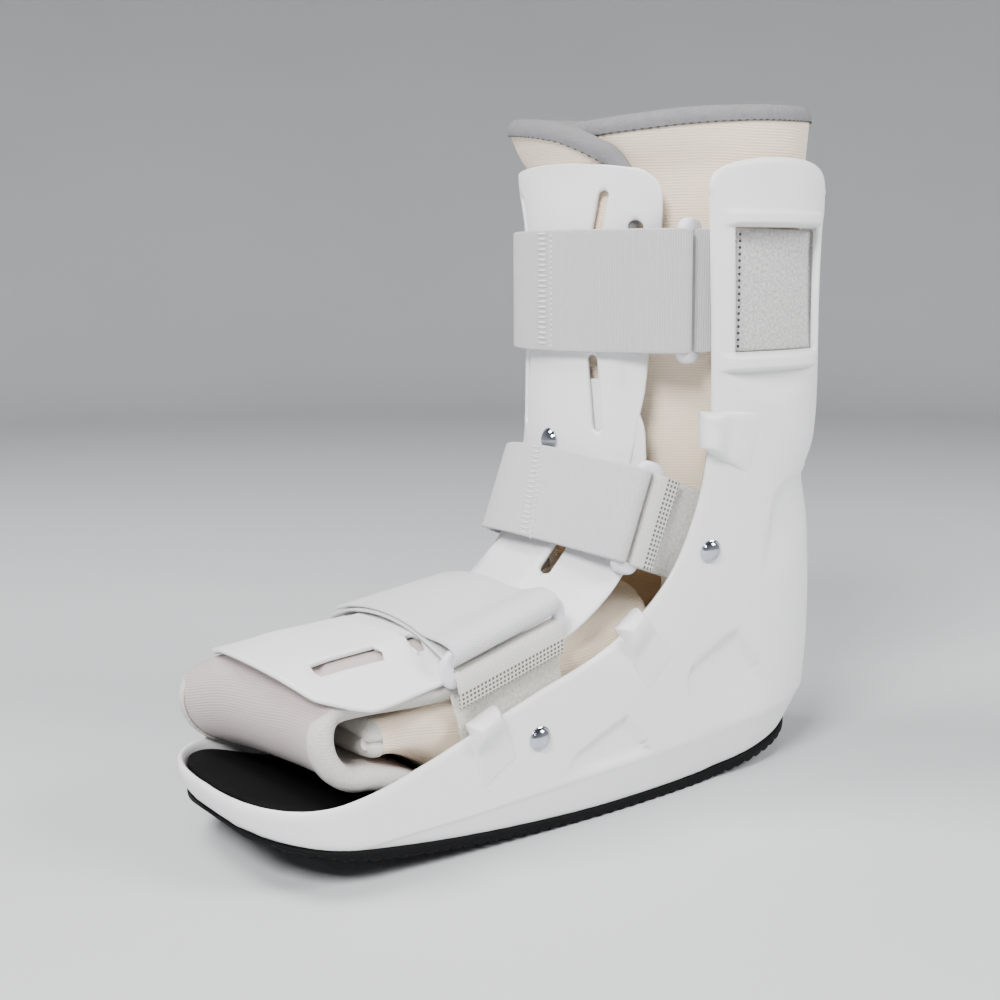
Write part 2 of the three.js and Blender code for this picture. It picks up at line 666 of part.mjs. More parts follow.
// Space above a surface under the instep plate, for fitting the liner below it
function aboveInstep(lower) {
  const { from, widen, height } = ABOVE_INSTEP;
  const surface = (u, v) => instepPoint(THREE.MathUtils.lerp(from, 1, v), 2 * u - 1, lower, widen);
  return toSolid(thickSheet(surface, 6, 9, height));
}

// Foot part of the liner: sole, heel, sides and the flaps over the foot, open at the toes and the leg
function linerFootGeometry() {
  const floor = WALL + GAP + INSOLE + GAP;
  const heel = SOLE_ENDS.heel + OVERRUN;
  const outside = [...trayLine(floor), [heel, LINER_SEAM], [SOLE_ENDS.toe - OVERRUN, LINER_SEAM]];
  const above = LINER_SEAM + OVERRUN;
  const clip = [[FOOT_FRONT, 0], [heel, 0], [heel, above], [FOOT_FRONT, above]];
  const levels = [-3, 12, 24, 34, 55, 80, 110];
  const outer = bootSolid(FOOT_INSET, levels)
    .intersect(toSolid(sidePrism(outside, REACH)))
    .intersect(toSolid(sidePrism(clip, REACH)))
    .subtract(aboveInstep(PLATE + GAP + FOOT_LAP));
  const hollow = [...trayLine(floor + LINER), [heel, above], [SOLE_ENDS.toe - OVERRUN, above]];
  const { y: throatY, high, run, low } = FOOT_THROAT;
  const throat = [[throatY, high], [throatY + run, low], [heel, low], [heel, above], [throatY, above]];
  const form = bootSolid(FOOT_INSET + LINER, levels).intersect(toSolid(sidePrism(hollow, REACH)));
  const tunnel = form.subtract(aboveInstep(PLATE + GAP + FOOT_LAP + LINER));
  const leg = form.intersect(toSolid(sidePrism(throat, REACH)));
  return toGeometry(outer.subtract(tunnel).subtract(leg));
}

// Toe flap: a padded sheet that starts on the insole, rolls up at the toe and lies under the plate
function toeFlapGeometry() {
  const floorAt = (y) => trayBottom(y) + WALL + INSOLE + 3 * GAP;
  const topAt = (x, y) => {
    const along = instepAlong(Math.max(y, FLAP.front + 15));
    const radius = (instepHalf(along) ** 2 + instepDrop(along) ** 2) / (2 * instepDrop(along));
    const droop = radius - Math.sqrt(radius ** 2 - x ** 2);
    return instepLine.getPoint(along).z - droop - PLATE - 3 * GAP;
  };
  const surface = (u, v) => {
    const x = FLAP.half * (2 * u - 1);
    const bottomZ = floorAt(FLAP.front + 10);
    const radius = (topAt(x, FLAP.front) - bottomZ) / 2;
    const turnY = FLAP.front + radius;
    const lower = FLAP.start - turnY;
    const upper = FLAP.back - turnY;
    const arc = Math.PI * radius;
    const s = v * (lower + arc + upper);
    if (s < lower) {
      const y = turnY + lower - s;
      return new THREE.Vector3(x, y, THREE.MathUtils.lerp(floorAt(y), bottomZ, s / lower));
    }
    if (s < lower + arc) {
      const angle = (s - lower) / radius;
      return new THREE.Vector3(x, turnY - radius * Math.sin(angle), bottomZ + radius * (1 - Math.cos(angle)));
    }
    const y = turnY + s - lower - arc;
    return new THREE.Vector3(x, y, topAt(x, y));
  };
  return thickSheet(surface, 8, 13, FLAP.thick);
}

// A ribbon along a path in the plane of its frame, with its width along z
function ribbon(path, width, thickness) {
  const side = (sign) =>
    path.map((point, i) => {
      const before = path[Math.max(i - 1, 0)];
      const after = path[Math.min(i + 1, path.length - 1)];
      const run = after.clone().sub(before).normalize();
      return new THREE.Vector2(-run.y, run.x).multiplyScalar((sign * thickness) / 2).add(point);
    });
  const shape = new THREE.Shape([...side(1), ...side(-1).reverse()]);
  const geometry = new THREE.ExtrudeGeometry(shape, { depth: width, bevelEnabled: false });
  return geometry.translate(0, 0, -width / 2);
}

// Outward normal at a point of a path that runs clockwise over the top, seen along -z
function pathNormal(path, i) {
  const before = path[Math.max(i - 1, 0)];
  const after = path[Math.min(i + 1, path.length - 1)];
  const run = after.clone().sub(before).normalize();
  return new THREE.Vector2(-run.y, run.x);
}

const LAYER = WEBBING + GAP; // pitch of two layers of webbing
const FOLD = RING.bar * 0.66 + GAP + WEBBING / 2; // bend radius round a ring's bar
const FOLD_RUN = 20; // the folded layers close up over this length

// Webbing that arrives along a path, turns round a bar beside its end and lies back along the path.
// The side is 1 where the bar is to the left of the path and -1 where it is to the right.
function foldBack(under, backCount, side) {
  const last = under.length - 1;
  const end = under[last];
  const out = pathNormal(under, last).multiplyScalar(side);
  const bar = end.clone().addScaledVector(out, FOLD);
  const run = new THREE.Vector2(out.y, -out.x).multiplyScalar(side);
  const bend = samples(6, (t) => {
    const angle = Math.PI * t;
    const offset = out.clone().multiplyScalar(-FOLD * Math.cos(angle));
    return bar.clone().add(offset).addScaledVector(run, FOLD * Math.sin(angle));
  });
  const over = [];
  let length = 0;
  for (let i = last - 1; i >= last - backCount; i -= 1) {
    length += under[i].distanceTo(under[i + 1]);
    const close = THREE.MathUtils.smoothstep(length, 0, FOLD_RUN);
    const lift = THREE.MathUtils.lerp(2 * FOLD, LAYER, close);
    over.push(under[i].clone().addScaledVector(pathNormal(under, i), side * lift));
  }
  return { path: [...under.slice(0, last), ...bend, ...over], bar };
}

// A rectangular ring with rounded ends between two bars of a frame's plane
function ringGeometry(first, second, width) {
  const between = second.clone().sub(first);
  const reach = between.length() + RING.bar;
  const length = width + 2 * (GAP + RING.end);
  const shape = new THREE.Shape();
  const corner = reach / 2 - 0.3;
  const x0 = reach / 2;
  const z0 = length / 2;
  shape.absarc(x0 - corner, z0 - corner, corner, 0, Math.PI / 2, false);
  shape.absarc(corner - x0, z0 - corner, corner, Math.PI / 2, Math.PI, false);
  shape.absarc(corner - x0, corner - z0, corner, Math.PI, 1.5 * Math.PI, false);
  shape.absarc(x0 - corner, corner - z0, corner, 1.5 * Math.PI, 2 * Math.PI, false);
  const hole = new THREE.Path();
  const hx = x0 - RING.bar;
  const hz = z0 - RING.end;
  hole.setFromPoints([[hx, hz], [hx, -hz], [-hx, -hz], [-hx, hz]].map(([x, z]) => new THREE.Vector2(x, z)));
  shape.holes.push(hole);
  const geometry = new THREE.ExtrudeGeometry(shape, {
    depth: RING.bar - 2 * RING.bevel,
    bevelSize: RING.bevel,
    bevelThickness: RING.bevel,
    bevelOffset: -RING.bevel,
    bevelSegments: 1,
    curveSegments: 3,
  });
  geometry.translate(0, 0, RING.bevel - RING.bar / 2);
  const across = new THREE.Vector3(between.x, between.y, 0).normalize();
  const basis = new THREE.Matrix4().makeBasis(across, Z_AXIS, across.clone().cross(Z_AXIS));
  const middle = first.clone().add(second).multiplyScalar(0.5);
  return geometry.applyMatrix4(basis.setPosition(middle.x, middle.y, 0));
}

function mesh(name, geometry, material) {
  const piece = new THREE.Mesh(geometry, material);
  piece.name = name;
  return piece;
}

// A strap over the foot: riveted inside the far wall, over the plates, round the near ring's first bar
// and back over itself. A tab round the second bar is riveted inside the near wall.
function strapSet(name, strap) {
  const group = new THREE.Group();
  group.position.set(...strap.origin);
  group.rotation.x = THREE.MathUtils.degToRad(strap.tilt);
  group.updateMatrixWorld(true);
  const toFrame = group.matrixWorld.clone().invert();
  const { y, z } = strap.rivet;
  const insideWall = (place, depth) => {
    const { point, normal } = wallFrame(place.y, place.z, 1);
    point.addScaledVector(normal, -(WALL + depth + WEBBING / 2)).applyMatrix4(toFrame);
    return new THREE.Vector2(point.x, point.y);
  };
  const seat = insideWall(strap.rivet, SEAT_DEPTH);
  const rim = insideWall(strap.edge, RIM_DEPTH);
  const tail = seat.clone().add(seat.clone().sub(rim).setLength(ANCHOR_TAIL));
  const radius = (strap.half ** 2 + strap.drop ** 2) / (2 * strap.drop);
  const reach = Math.asin(strap.half / radius);
  const arch = samples(14, (t) => {
    const turn = THREE.MathUtils.lerp(-reach, reach, t);
    return new THREE.Vector2(radius * Math.sin(turn), radius * (Math.cos(turn) - 1));
  });
  // The wall leans along the webbing's width, so the ends lean with it
  const alongWidth = Z_AXIS.clone().transformDirection(group.matrixWorld);
  const wallAt = (w) => halfWidth(y + alongWidth.y * w, z + alongWidth.z * w);
  const slope = (wallAt(strap.width / 2) - wallAt(-strap.width / 2)) / strap.width;
  const leaned = (geometry) => {
    const position = geometry.attributes.position;
    for (let i = 0; i < position.count; i += 1) {
      const x = position.getX(i);
      const share = THREE.MathUtils.smoothstep(-position.getY(i), strap.drop + RING.spacing, -rim.y);
      position.setX(i, x + Math.sign(x) * share * slope * position.getZ(i));
    }
    return geometry;
  };
  const flip = ({ x, y: height }) => new THREE.Vector2(-x, height);
  const cut = (geometry, side) => {
    const hole = rivetHole(y, z, side).applyMatrix4(toFrame);
    return toGeometry(toSolid(geometry).subtract(toSolid(hole)));
  };

  const under = [...[tail, seat, rim].map(flip), ...arch];
  const shown = arch.filter(({ x }) => x > strap.tabEnd).length;
  const fold = foldBack(under, shown - 1, 1);
  const band = leaned(ribbon(fold.path, strap.width, WEBBING));
  group.add(mesh(`${name}_strap`, cut(band, -1), FINISH.webbing));

  const pull = rim.clone().sub(fold.bar).normalize();
  const second = fold.bar.clone().addScaledVector(pull, RING.spacing);
  const loopFoot = second.clone().add(new THREE.Vector2(pull.y, -pull.x).multiplyScalar(FOLD));
  const rise = samples(4, (t) => rim.clone().lerp(loopFoot, t));
  const loop = foldBack([tail, seat, ...rise], 2, -1);
  const tab = leaned(ribbon(loop.path, strap.width, WEBBING));
  group.add(mesh(`${name}_anchor`, cut(tab, 1), FINISH.webbing));
  group.add(mesh(`${name}_ring`, ringGeometry(fold.bar, loop.bar, strap.width), FINISH.plastic));
  return group;
}

// Calf strap: sewn round the ring's second bar, inside the near upright, round the back, inside the
// far upright, over the shin plate, round the first bar and back over itself
function calfSet() {
  const group = new THREE.Group();
  group.position.set(0, LEG_Y, CALF.z);
  group.rotation.x = Math.PI;
  const at = (turn) => {
    const angle = THREE.MathUtils.degToRad(turn);
    const reach = Math.cos(angle) > 0 ? CALF.front : CALF.back;
    return new THREE.Vector2(CALF.side * Math.sin(angle), reach * Math.cos(angle));
  };
  const steps = 44;
  const start = CALF.loopAngle - 360;
  const under = samples(steps, (t) => at(THREE.MathUtils.lerp(start, CALF.foldAngle, t)));
  const perStep = (CALF.foldAngle - start) / steps;
  const fold = foldBack(under, Math.round((CALF.foldAngle - CALF.tabAngle) / perStep), 1);
  const loop = foldBack([...under].reverse(), CALF.sewn, 1);
  const sewn = loop.path.slice(under.length - 1).reverse();
  const path = [...sewn, ...fold.path.slice(1)];
  group.add(mesh('calf_strap', ribbon(path, CALF.width, WEBBING), FINISH.webbing));
  group.add(mesh('calf_ring', ringGeometry(fold.bar, loop.bar, CALF.width), FINISH.plastic));
  return group;
}

const boot = new THREE.Group();
boot.add(mesh('shell', shellGeometry(), FINISH.plastic));
boot.add(mesh('outsole', outsoleGeometry(), FINISH.rubber));
boot.add(mesh('insole', insoleGeometry(), FINISH.rubber));
boot.add(mesh('liner_leg', linerLegGeometry(), FINISH.liner));
boot.add(mesh('liner_foot', linerFootGeometry(), FINISH.liner));
boot.add(mesh('toe_flap', toeFlapGeometry(), FINISH.liner));
boot.add(mesh('shin_plate', shinPlateGeometry(), FINISH.plastic));
boot.add(mesh('instep_plate', instepPlateGeometry(), FINISH.plastic));
boot.add(calfSet());
boot.add(strapSet('ankle', ANKLE));
boot.add(strapSet('foot', FOOT));

const plateGrip = 2 * PLATE + GAP + RIVET_PLAY + PLATE_RIVET_PLAY;
const plateRivet = mesh('plate_rivet', rivetGeometry(plateGrip), FINISH.metal);
plateRivet.position.set(0, LEG_Y - SHIN_RADIUS - PLATE_RIVET_PLAY, PLATE_RIVET_Z);
plateRivet.quaternion.setFromUnitVectors(Y_AXIS, Y_AXIS.clone().negate());
boot.add(plateRivet);

for (const [place, { y, z }] of Object.entries(SHELL_RIVETS)) {
  for (const side of SIDES) {
    const { point, normal } = wallFrame(y, z, side);
    const grip = WALL + WEBBING + 4 * RIVET_PLAY;
    const rivet = mesh(`rivet_${place}_${side > 0 ? 'near' : 'far'}`, rivetGeometry(grip), FINISH.metal);
    rivet.position.copy(point).addScaledVector(normal, RIVET_PLAY);
    rivet.quaternion.setFromUnitVectors(Y_AXIS, normal);
    boot.add(rivet);
  }
}

export default boot;
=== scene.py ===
import bmesh
import bpy
import numpy as np
from mathutils import Matrix


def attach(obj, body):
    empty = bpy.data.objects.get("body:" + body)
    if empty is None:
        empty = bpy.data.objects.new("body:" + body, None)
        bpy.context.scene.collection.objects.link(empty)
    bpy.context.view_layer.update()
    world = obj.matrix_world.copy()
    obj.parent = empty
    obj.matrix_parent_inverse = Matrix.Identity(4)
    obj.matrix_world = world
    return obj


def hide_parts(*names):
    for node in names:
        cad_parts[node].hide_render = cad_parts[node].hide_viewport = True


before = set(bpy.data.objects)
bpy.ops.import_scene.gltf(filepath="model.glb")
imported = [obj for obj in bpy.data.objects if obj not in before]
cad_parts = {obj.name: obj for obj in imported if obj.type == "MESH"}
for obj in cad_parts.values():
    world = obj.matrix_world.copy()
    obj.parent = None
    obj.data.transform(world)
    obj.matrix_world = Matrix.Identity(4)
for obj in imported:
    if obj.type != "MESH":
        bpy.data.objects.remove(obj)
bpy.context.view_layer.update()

# Camera, floor and light. The camera stands low at the toe's near side, as the photograph's does.
# The floor is a wide pale bowl, so that no horizon shows, and three soft panels light the boot.
CAMERA_PLACE = (0.49245, -0.35924, 0.2186)
CAMERA_YAW = 54.68
CAMERA_PITCH = 8.82
CAMERA_ROLL = -0.31
CAMERA_LENS = 53.81

yaw, pitch, roll = np.radians([CAMERA_YAW, CAMERA_PITCH, CAMERA_ROLL])
ahead = np.array([-np.sin(yaw) * np.cos(pitch), np.cos(yaw) * np.cos(pitch), -np.sin(pitch)])
level = np.array([np.cos(yaw), np.sin(yaw), 0.0])
above = np.cross(level, ahead)
right = level * np.cos(roll) + above * np.sin(roll)
upward = above * np.cos(roll) - level * np.sin(roll)
camera = bpy.data.objects.new("camera", bpy.data.cameras.new("camera"))
camera.data.lens = CAMERA_LENS
camera.data.sensor_width = 36.0
camera.data.clip_start = 0.01
camera.matrix_world = Matrix.Translation(CAMERA_PLACE) @ Matrix(
    np.column_stack([right, upward, -ahead]).tolist()
).to_4x4()
bpy.context.scene.collection.objects.link(camera)
bpy.context.scene.camera = camera


def put(tree, kind, inputs=None, **settings):
    """Adds a shader node. Settings are its properties, inputs are values or the sockets that feed it."""
    node = tree.nodes.new(kind)
    for key, value in settings.items():
        setattr(node, key, value)
    for key, value in (inputs or {}).items():
        if isinstance(value, bpy.types.NodeSocket):
            tree.links.new(value, node.inputs[key])
        else:
            node.inputs[key].default_value = value
    return node


def linear(red, green, blue):
    """A colour given as it shows on a screen, 0 to 255, as the light values that a shader takes."""
    shown = np.array([red, green, blue]) / 255
    light = np.where(shown > 0.04, ((shown + 0.055) / 1.055) ** 2.4, shown / 12.92)
    return (*light.tolist(), 1.0)


def new_finish(name):
    """A material with one surface shader, as the material, its node tree and the shader."""
    finish = bpy.data.materials.new(name)
    finish.use_nodes = True
    return finish, finish.node_tree, finish.node_tree.nodes["Principled BSDF"]


def noise(tree, place, scale, detail=2.0):
    """The value of a cloudy noise at a place."""
    return put(tree, "ShaderNodeTexNoise", {"Vector": place, "Scale": scale, "Detail": detail}).outputs[0]


def mix(tree, share, first, second):
    """A colour between two others, each given as a screen colour or as a socket."""
    ends = [end if isinstance(end, bpy.types.NodeSocket) else linear(*end) for end in (first, second)]
    return put(tree, "ShaderNodeMix", {0: share, 6: ends[0], 7: ends[1]}, data_type="RGBA").outputs[2]


def set_bump(tree, shader, height, strength, depth):
    """Gives a surface the small slopes of a height."""
    bump = put(tree, "ShaderNodeBump", {"Height": height, "Strength": strength, "Distance": depth})
    tree.links.new(bump.outputs[0], shader.inputs["Normal"])


def mottled_finish(name, first, second, scale, detail, rough, shine=0.5, grain=None):
    """A dull material: clouds of two close tones, of a scale and detail, and a grain that is given by its
    own scale, detail, strength and depth."""
    finish, tree, shader = new_finish(name)
    place = put(tree, "ShaderNodeTexCoord").outputs["Object"]
    tree.links.new(mix(tree, noise(tree, place, scale, detail), first, second), shader.inputs["Base Color"])
    if grain:
        set_bump(tree, shader, noise(tree, place, *grain[:2]), *grain[2:])
    shader.inputs["Roughness"].default_value = rough
    shader.inputs["Specular IOR Level"].default_value = shine
    return finish


def grid_quads(rows, columns):
    """Four-sided faces between the points of a grid, by the points' numbers."""
    index = np.arange(rows * columns).reshape(rows, columns)
    return np.stack([index[:-1, :-1], index[1:, :-1], index[1:, 1:], index[:-1, 1:]], -1)


FLOOR_GRID = (40, 97)
FLOOR_FLAT = 1.7
FLOOR_RIM = 3.4
FLOOR_RISE = 2.6
spokes = np.linspace(0, 1, FLOOR_GRID[0])
laps = np.linspace(0, 2 * np.pi, FLOOR_GRID[1])
spoke, lap = np.meshgrid(spokes, laps, indexing="ij")
reach = FLOOR_RIM * spoke
rise = FLOOR_RISE * np.clip((reach - FLOOR_FLAT) / (FLOOR_RIM - FLOOR_FLAT), 0, 1) ** 2
bowl = np.stack([reach * np.cos(lap), reach * np.sin(lap), rise], -1).reshape(-1, 3)
floor_mesh = bpy.data.meshes.new("floor")
floor_mesh.from_pydata(bowl.tolist(), [], grid_quads(*FLOOR_GRID).reshape(-1, 4).tolist())
floor_mesh.shade_smooth()
floor = bpy.data.objects.new("floor", floor_mesh)
bpy.context.scene.collection.objects.link(floor)
floor_mesh.materials.append(mottled_finish("pale floor", (196, 197, 199), (204, 205, 207), 3.0, 3.0, 0.7))

world = bpy.data.worlds.new("studio")
world.use_nodes = True
sky = put(world.node_tree, "ShaderNodeTexCoord").outputs["Generated"]
tilt = put(world.node_tree, "ShaderNodeSeparateXYZ", {0: sky}).outputs[2]
shade = put(world.node_tree, "ShaderNodeMapRange", {0: tilt, 1: 0.0, 2: 0.8, 3: 0.0, 4: 1.0}).outputs[0]
glow = put(world.node_tree, "ShaderNodeMix", {0: shade, 6: (1.0, 0.99, 0.97, 1.0), 7: (0.2, 0.21, 0.24, 1.0)},
           data_type="RGBA")
backdrop = world.node_tree.nodes["Background"]
world.node_tree.links.new(glow.outputs[2], backdrop.inputs["Color"])
backdrop.inputs["Strength"].default_value = 0.36
bpy.context.scene.world = world
LIGHTS = [
    # name, place, aimed at, width, watts
    ("key", (0.75, -1.15, 1.2), (0, 0, 0.1), 0.5, 46.0),
    ("top", (-0.4, -0.6, 1.5), (0, 0, 0.1), 0.6, 24.0),
    ("side", (1.0, 0.75, 0.95), (0, 0, 0.1), 0.6, 21.0),
]
for name, spot, aim, width, watts in LIGHTS:
    lamp = bpy.data.lights.new(name, "AREA")
    lamp.energy = watts
    lamp.size = width
    panel = bpy.data.objects.new(name, lamp)
    toward = np.array(aim) - np.array(spot)
    beam = Matrix.Identity(3)
    beam.col[2] = (-toward / np.linalg.norm(toward)).tolist()
    beam.col[0] = beam.col[2].cross((0, 0, 1)).normalized()
    beam.col[1] = beam.col[2].cross(beam.col[0])
    panel.matrix_world = Matrix.Translation(spot) @ beam.to_4x4()
    panel.visible_camera = False
    bpy.context.scene.collection.objects.link(panel)

# Shell: one white moulding of tough plastic, a sole tray with low side walls, a heel cup and two
# uprights. Its wall is even, its rim is round, and its ribs, scoops and strap guides are moulded in.
MM = 0.001
WALL = 3.2
THINNEST = 2.0
LEG_Y = 74.6
LEG_FRONT = 72.0
LEG_BLEND = (60.0, 170.0)
TOE_ROUND = 34.0
TOE_POWER = 2.6
HEEL_POWER = 2.8
TREAD = 5.0
FLAT_FRONT = 18.0
FLAT_BACK = 64.0
ROCKER_RADIUS = 820.0
HEEL_SPRING = 13.0
SOLE_HEEL = 147.0
# The outside at each height: half width beside the leg, and both ends
SHELL_LEVELS = np.array([
    (-4, 44.0, 134.0, -133.5), (8, 45.5, 139.5, -137.5), (20, 46.5, 145.0, -141.5),
    (34, 47.5, 149.6, -145.5), (70, 50.5, 149.8, -145.5), (110, 55.0, 143.0, -145.5),
    (134, 58.6, 136.2, -145.5), (142, 59.9, 139.6, -145.5), (150, 61.0, 141.0, -145.5),
    (185, 63.8, 141.6, -145.5), (235, 65.0, 142.5, -145.5), (300, 65.4, 143.5, -145.5),
])
# Half width of the foot part at each place ahead of the leg
FOOT_WIDTHS = np.array([(-150, 53.0), (-80, 53.0), (-40, 52.2), (0, 51.3), (40, 49.8), (LEG_Y, 48.0)])
# Side view of the foot part's edge, from the toe to the foot of the upright's front
FOOT_EDGE = np.array([
    (-160, 32.0), (-118, 32.5), (-97, 36.0), (-66, 46.0), (-30, 58.5), (11, 73.0), (37.5, 93.5),
    (49.8, 121.0), (52.3, 152.0),
])
UPRIGHT_FRONT = np.array([(152, 52.3), (190, 50.0), (247, 47.5), (270, 47.0)])
UPRIGHT_BACK = 126.5
# How far the upright's back edge lies forward at each height
UPRIGHT_RAKE = np.array([
    (134, 0), (150, 0.5), (168, 6.5), (185, 10.8), (209, 13.4), (234, 12.7), (241, 10.8), (262, 11.4),
])
UPRIGHT_TOP = 261.5
UPRIGHT_SHOULDER = 247.0
UPRIGHT_TOP_POWER = 0.55
CUP_TOP = 134.0
CUP_NOTCH = 2.0
# Front, back, bottom and top of the window
WINDOW = (62.5, 121.0, 185.0, 234.0)
RIM_ROUND = 2.6
TOE_RIM_ROUND = 4.5


def smooth_table(places, values):
    """A curve through table rows: cubic pieces whose slope at a row is that of its neighbours' chord."""
    x = np.array(places, float)
    y = np.array(values, float)
    low = np.maximum(np.arange(len(x)) - 1, 0)
    high = np.minimum(np.arange(len(x)) + 1, len(x) - 1)
    slope = (y[high] - y[low]) / (x[high] - x[low])

    def curve(at):
        """The curve at some places, held beyond its first and last rows."""
        held = np.clip(at, x[0], x[-1])
        i = np.clip(np.searchsorted(x, held, side="right") - 1, 0, len(x) - 2)
        step = x[i + 1] - x[i]
        t = (held - x[i]) / step
        ease = t * t * (3 - 2 * t)
        bend = t * (1 - t) * step * (slope[i] * (1 - t) - slope[i + 1] * t)
        return y[i] + (y[i + 1] - y[i]) * ease + bend

    return curve


def ramp(low, high, value):
    """Smooth step from 0 at low to 1 at high."""
    t = np.clip((value - low) / (high - low), 0, 1)
    return t * t * (3 - 2 * t)


shell_side, shell_back, shell_toe = (smooth_table(SHELL_LEVELS[:, 0], SHELL_LEVELS[:, k]) for k in (1, 2, 3))
foot_width = smooth_table(FOOT_WIDTHS[:, 0], FOOT_WIDTHS[:, 1])


def half_width(y, z):
    """Half width of the shell's outside: a blunt oval behind the leg's axis, and ahead of it the foot's
    outline with its blunt toe, eased with height into the front of the leg's oval."""
    side = shell_side(z)
    behind = np.clip((y - LEG_Y) / (shell_back(z) - LEG_Y), 0, 1)
    rear = side * np.sqrt(1 - behind**HEEL_POWER)
    oval = side * np.sqrt(np.maximum(1 - ((LEG_Y - y) / LEG_FRONT) ** 2, 0.1))
    toe = np.clip((shell_toe(z) + TOE_ROUND - y) / TOE_ROUND, 0, 1)
    widen = (side - foot_width(LEG_Y)) * np.clip(y / LEG_Y, 0, None) ** 2
    foot = (foot_width(y) + widen) * (1 - toe**TOE_POWER) ** (1 / TOE_POWER)
    front = foot + (oval - foot) * ramp(*LEG_BLEND, z)
    return np.where(y >= LEG_Y, rear, front)


def tray_bottom(y):
    """Underside of the tray: flat in the middle, a large circle up to the toe, a spring at the heel."""
    ahead_of_flat = np.maximum(FLAT_FRONT - y, 0)
    heel = np.maximum((y - FLAT_BACK) / (SOLE_HEEL - FLAT_BACK), 0)
    return TREAD + ahead_of_flat**2 / (2 * ROCKER_RADIUS) + HEEL_SPRING * heel**1.4


def unit(vectors):
    """The same directions with length 1."""
    return vectors / np.linalg.norm(vectors, axis=-1, keepdims=True)


def wall_normal(y, z):
    """Outward direction of the shell's near wall, from the slopes of its half width."""
    step = 0.05
    slope_y = (half_width(y + step, z) - half_width(y - step, z)) / (2 * step)
    slope_z = (half_width(y, z + step) - half_width(y, z - step)) / (2 * step)
    return unit(np.stack([np.ones_like(slope_y), -slope_y, -slope_z], -1))


def path_lengths(path):
    """Distance run along a path up to each of its points."""
    return np.concatenate([[0], np.cumsum(np.linalg.norm(np.diff(path, axis=0), axis=1))])


def along_line(corners, spacing):
    """Points at an even spacing along straight runs between corners."""
    corners = np.array(corners, float)
    runs = path_lengths(corners)
    at = np.linspace(0, runs[-1], max(int(runs[-1] / spacing), 2) + 1)
    return np.stack([np.interp(at, runs, corners[:, k]) for k in range(corners.shape[1])], -1)


def nearest(places, points):
    """Distance from each place of a grid to the nearest of some points, worked out in slices."""
    flat = places.reshape(-1, places.shape[-1]).astype(np.float32)
    points = points.astype(np.float32)
    slices = np.array_split(flat, max(len(flat) // 1500, 1))
    found = [np.sqrt(((part[:, None] - points[None]) ** 2).sum(-1).min(1)) for part in slices]
    return np.concatenate(found).reshape(places.shape[:-1]).astype(float)


def sheet_parts(outer, normal, flat, away, thickness, rounding, keep=None, free=False):
    """Both faces of one panel of a sheet. The inner face lies a thickness under the outer one, and near a
    free edge both curl to the middle on an ellipse and meet. Returns points, quads, flat places, edges."""
    away = np.where(free, 0, away)
    thick = np.broadcast_to(thickness, away.shape)
    turn = 1 - np.clip(away / rounding, 0, 1)
    curl = thick / 2 * (1 - np.sqrt(1 - turn**2))
    inner = outer - normal * (thick - curl)[..., None]
    outer = outer - normal * curl[..., None]
    cells = grid_quads(*away.shape)
    cells = cells.reshape(-1, 4) if keep is None else cells[keep]
    points = outer.reshape(-1, 3)
    first, second, last = (points[cells[:, k]] for k in (0, 1, 3))
    facing = (np.cross(second - first, last - first) * normal.reshape(-1, 3)[cells[:, 0]]).sum()
    cells = cells if facing > 0 else cells[:, ::-1]
    quads = np.concatenate([cells, cells[:, ::-1] + away.size])
    places = np.concatenate([flat.reshape(-1, 2)] * 2)
    return np.concatenate([points, inner.reshape(-1, 3)]), quads, places, np.concatenate([away.ravel()] * 2)


def mirrored(part):
    """The same part on the other side of the boot."""
    points, quads, places, away = part
    return points * (-1, 1, 1), quads[:, ::-1], places, away


def make_piece(name, parts, weld=0.004):
    """One object from parts in millimetres. It keeps their flat places as a UV map in millimetres and the
    distance from a free edge as an attribute, welds what meets and is shaded smooth."""
    sizes = np.cumsum([0] + [len(part[0]) for part in parts])
    points = np.concatenate([part[0] for part in parts]) * MM
    quads = np.concatenate([part[1] + start for part, start in zip(parts, sizes)])
    places = np.concatenate([part[2] for part in parts])
    away = np.concatenate([part[3] for part in parts])
    mesh = bpy.data.meshes.new(name)
    mesh.from_pydata(points.tolist(), [], quads.tolist())
    layer = mesh.uv_layers.new(name="flat")
    layer.data.foreach_set("uv", places[quads.ravel()].astype(np.float32).ravel())
    edge = mesh.attributes.new("edge", "FLOAT", "POINT")
    edge.data.foreach_set("value", away.astype(np.float32))
    work = bmesh.new()
    work.from_mesh(mesh)
    bmesh.ops.remove_doubles(work, verts=work.verts, dist=weld * MM)
    bmesh.ops.dissolve_degenerate(work, edges=work.edges, dist=weld * MM * 0.1)
    work.to_mesh(mesh)
    work.free()
    mesh.shade_smooth()
    piece = bpy.data.objects.new(name, mesh)
    bpy.context.scene.collection.objects.link(piece)
    return piece


def dress(piece, finish, slot, *nodes):
    """Gives a piece its material, lets it ride on the boot and stand for its solids."""
    piece.data.materials.append(finish)
    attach(piece, "root")
    if nodes:
        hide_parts(*nodes)
    return piece


# Places across a strip, closer together within a round edge
EDGE_STEPS = np.array([0, 0.03, 0.12, 0.28, 0.5, 0.75, 1.0])


def strip(low, high, rounding, spacing):
    """Places from low to high, crowded within a rounding of both ends and evenly spaced between."""
    rounding = np.minimum(rounding, 0.45 * (high - low))
    count = max(int((high - low - 2 * rounding) / spacing), 1)
    middle = np.linspace(low + rounding, high - rounding, count + 1)[1:-1]
    return np.concatenate([low + rounding * EDGE_STEPS, middle, high - rounding * EDGE_STEPS[::-1]])


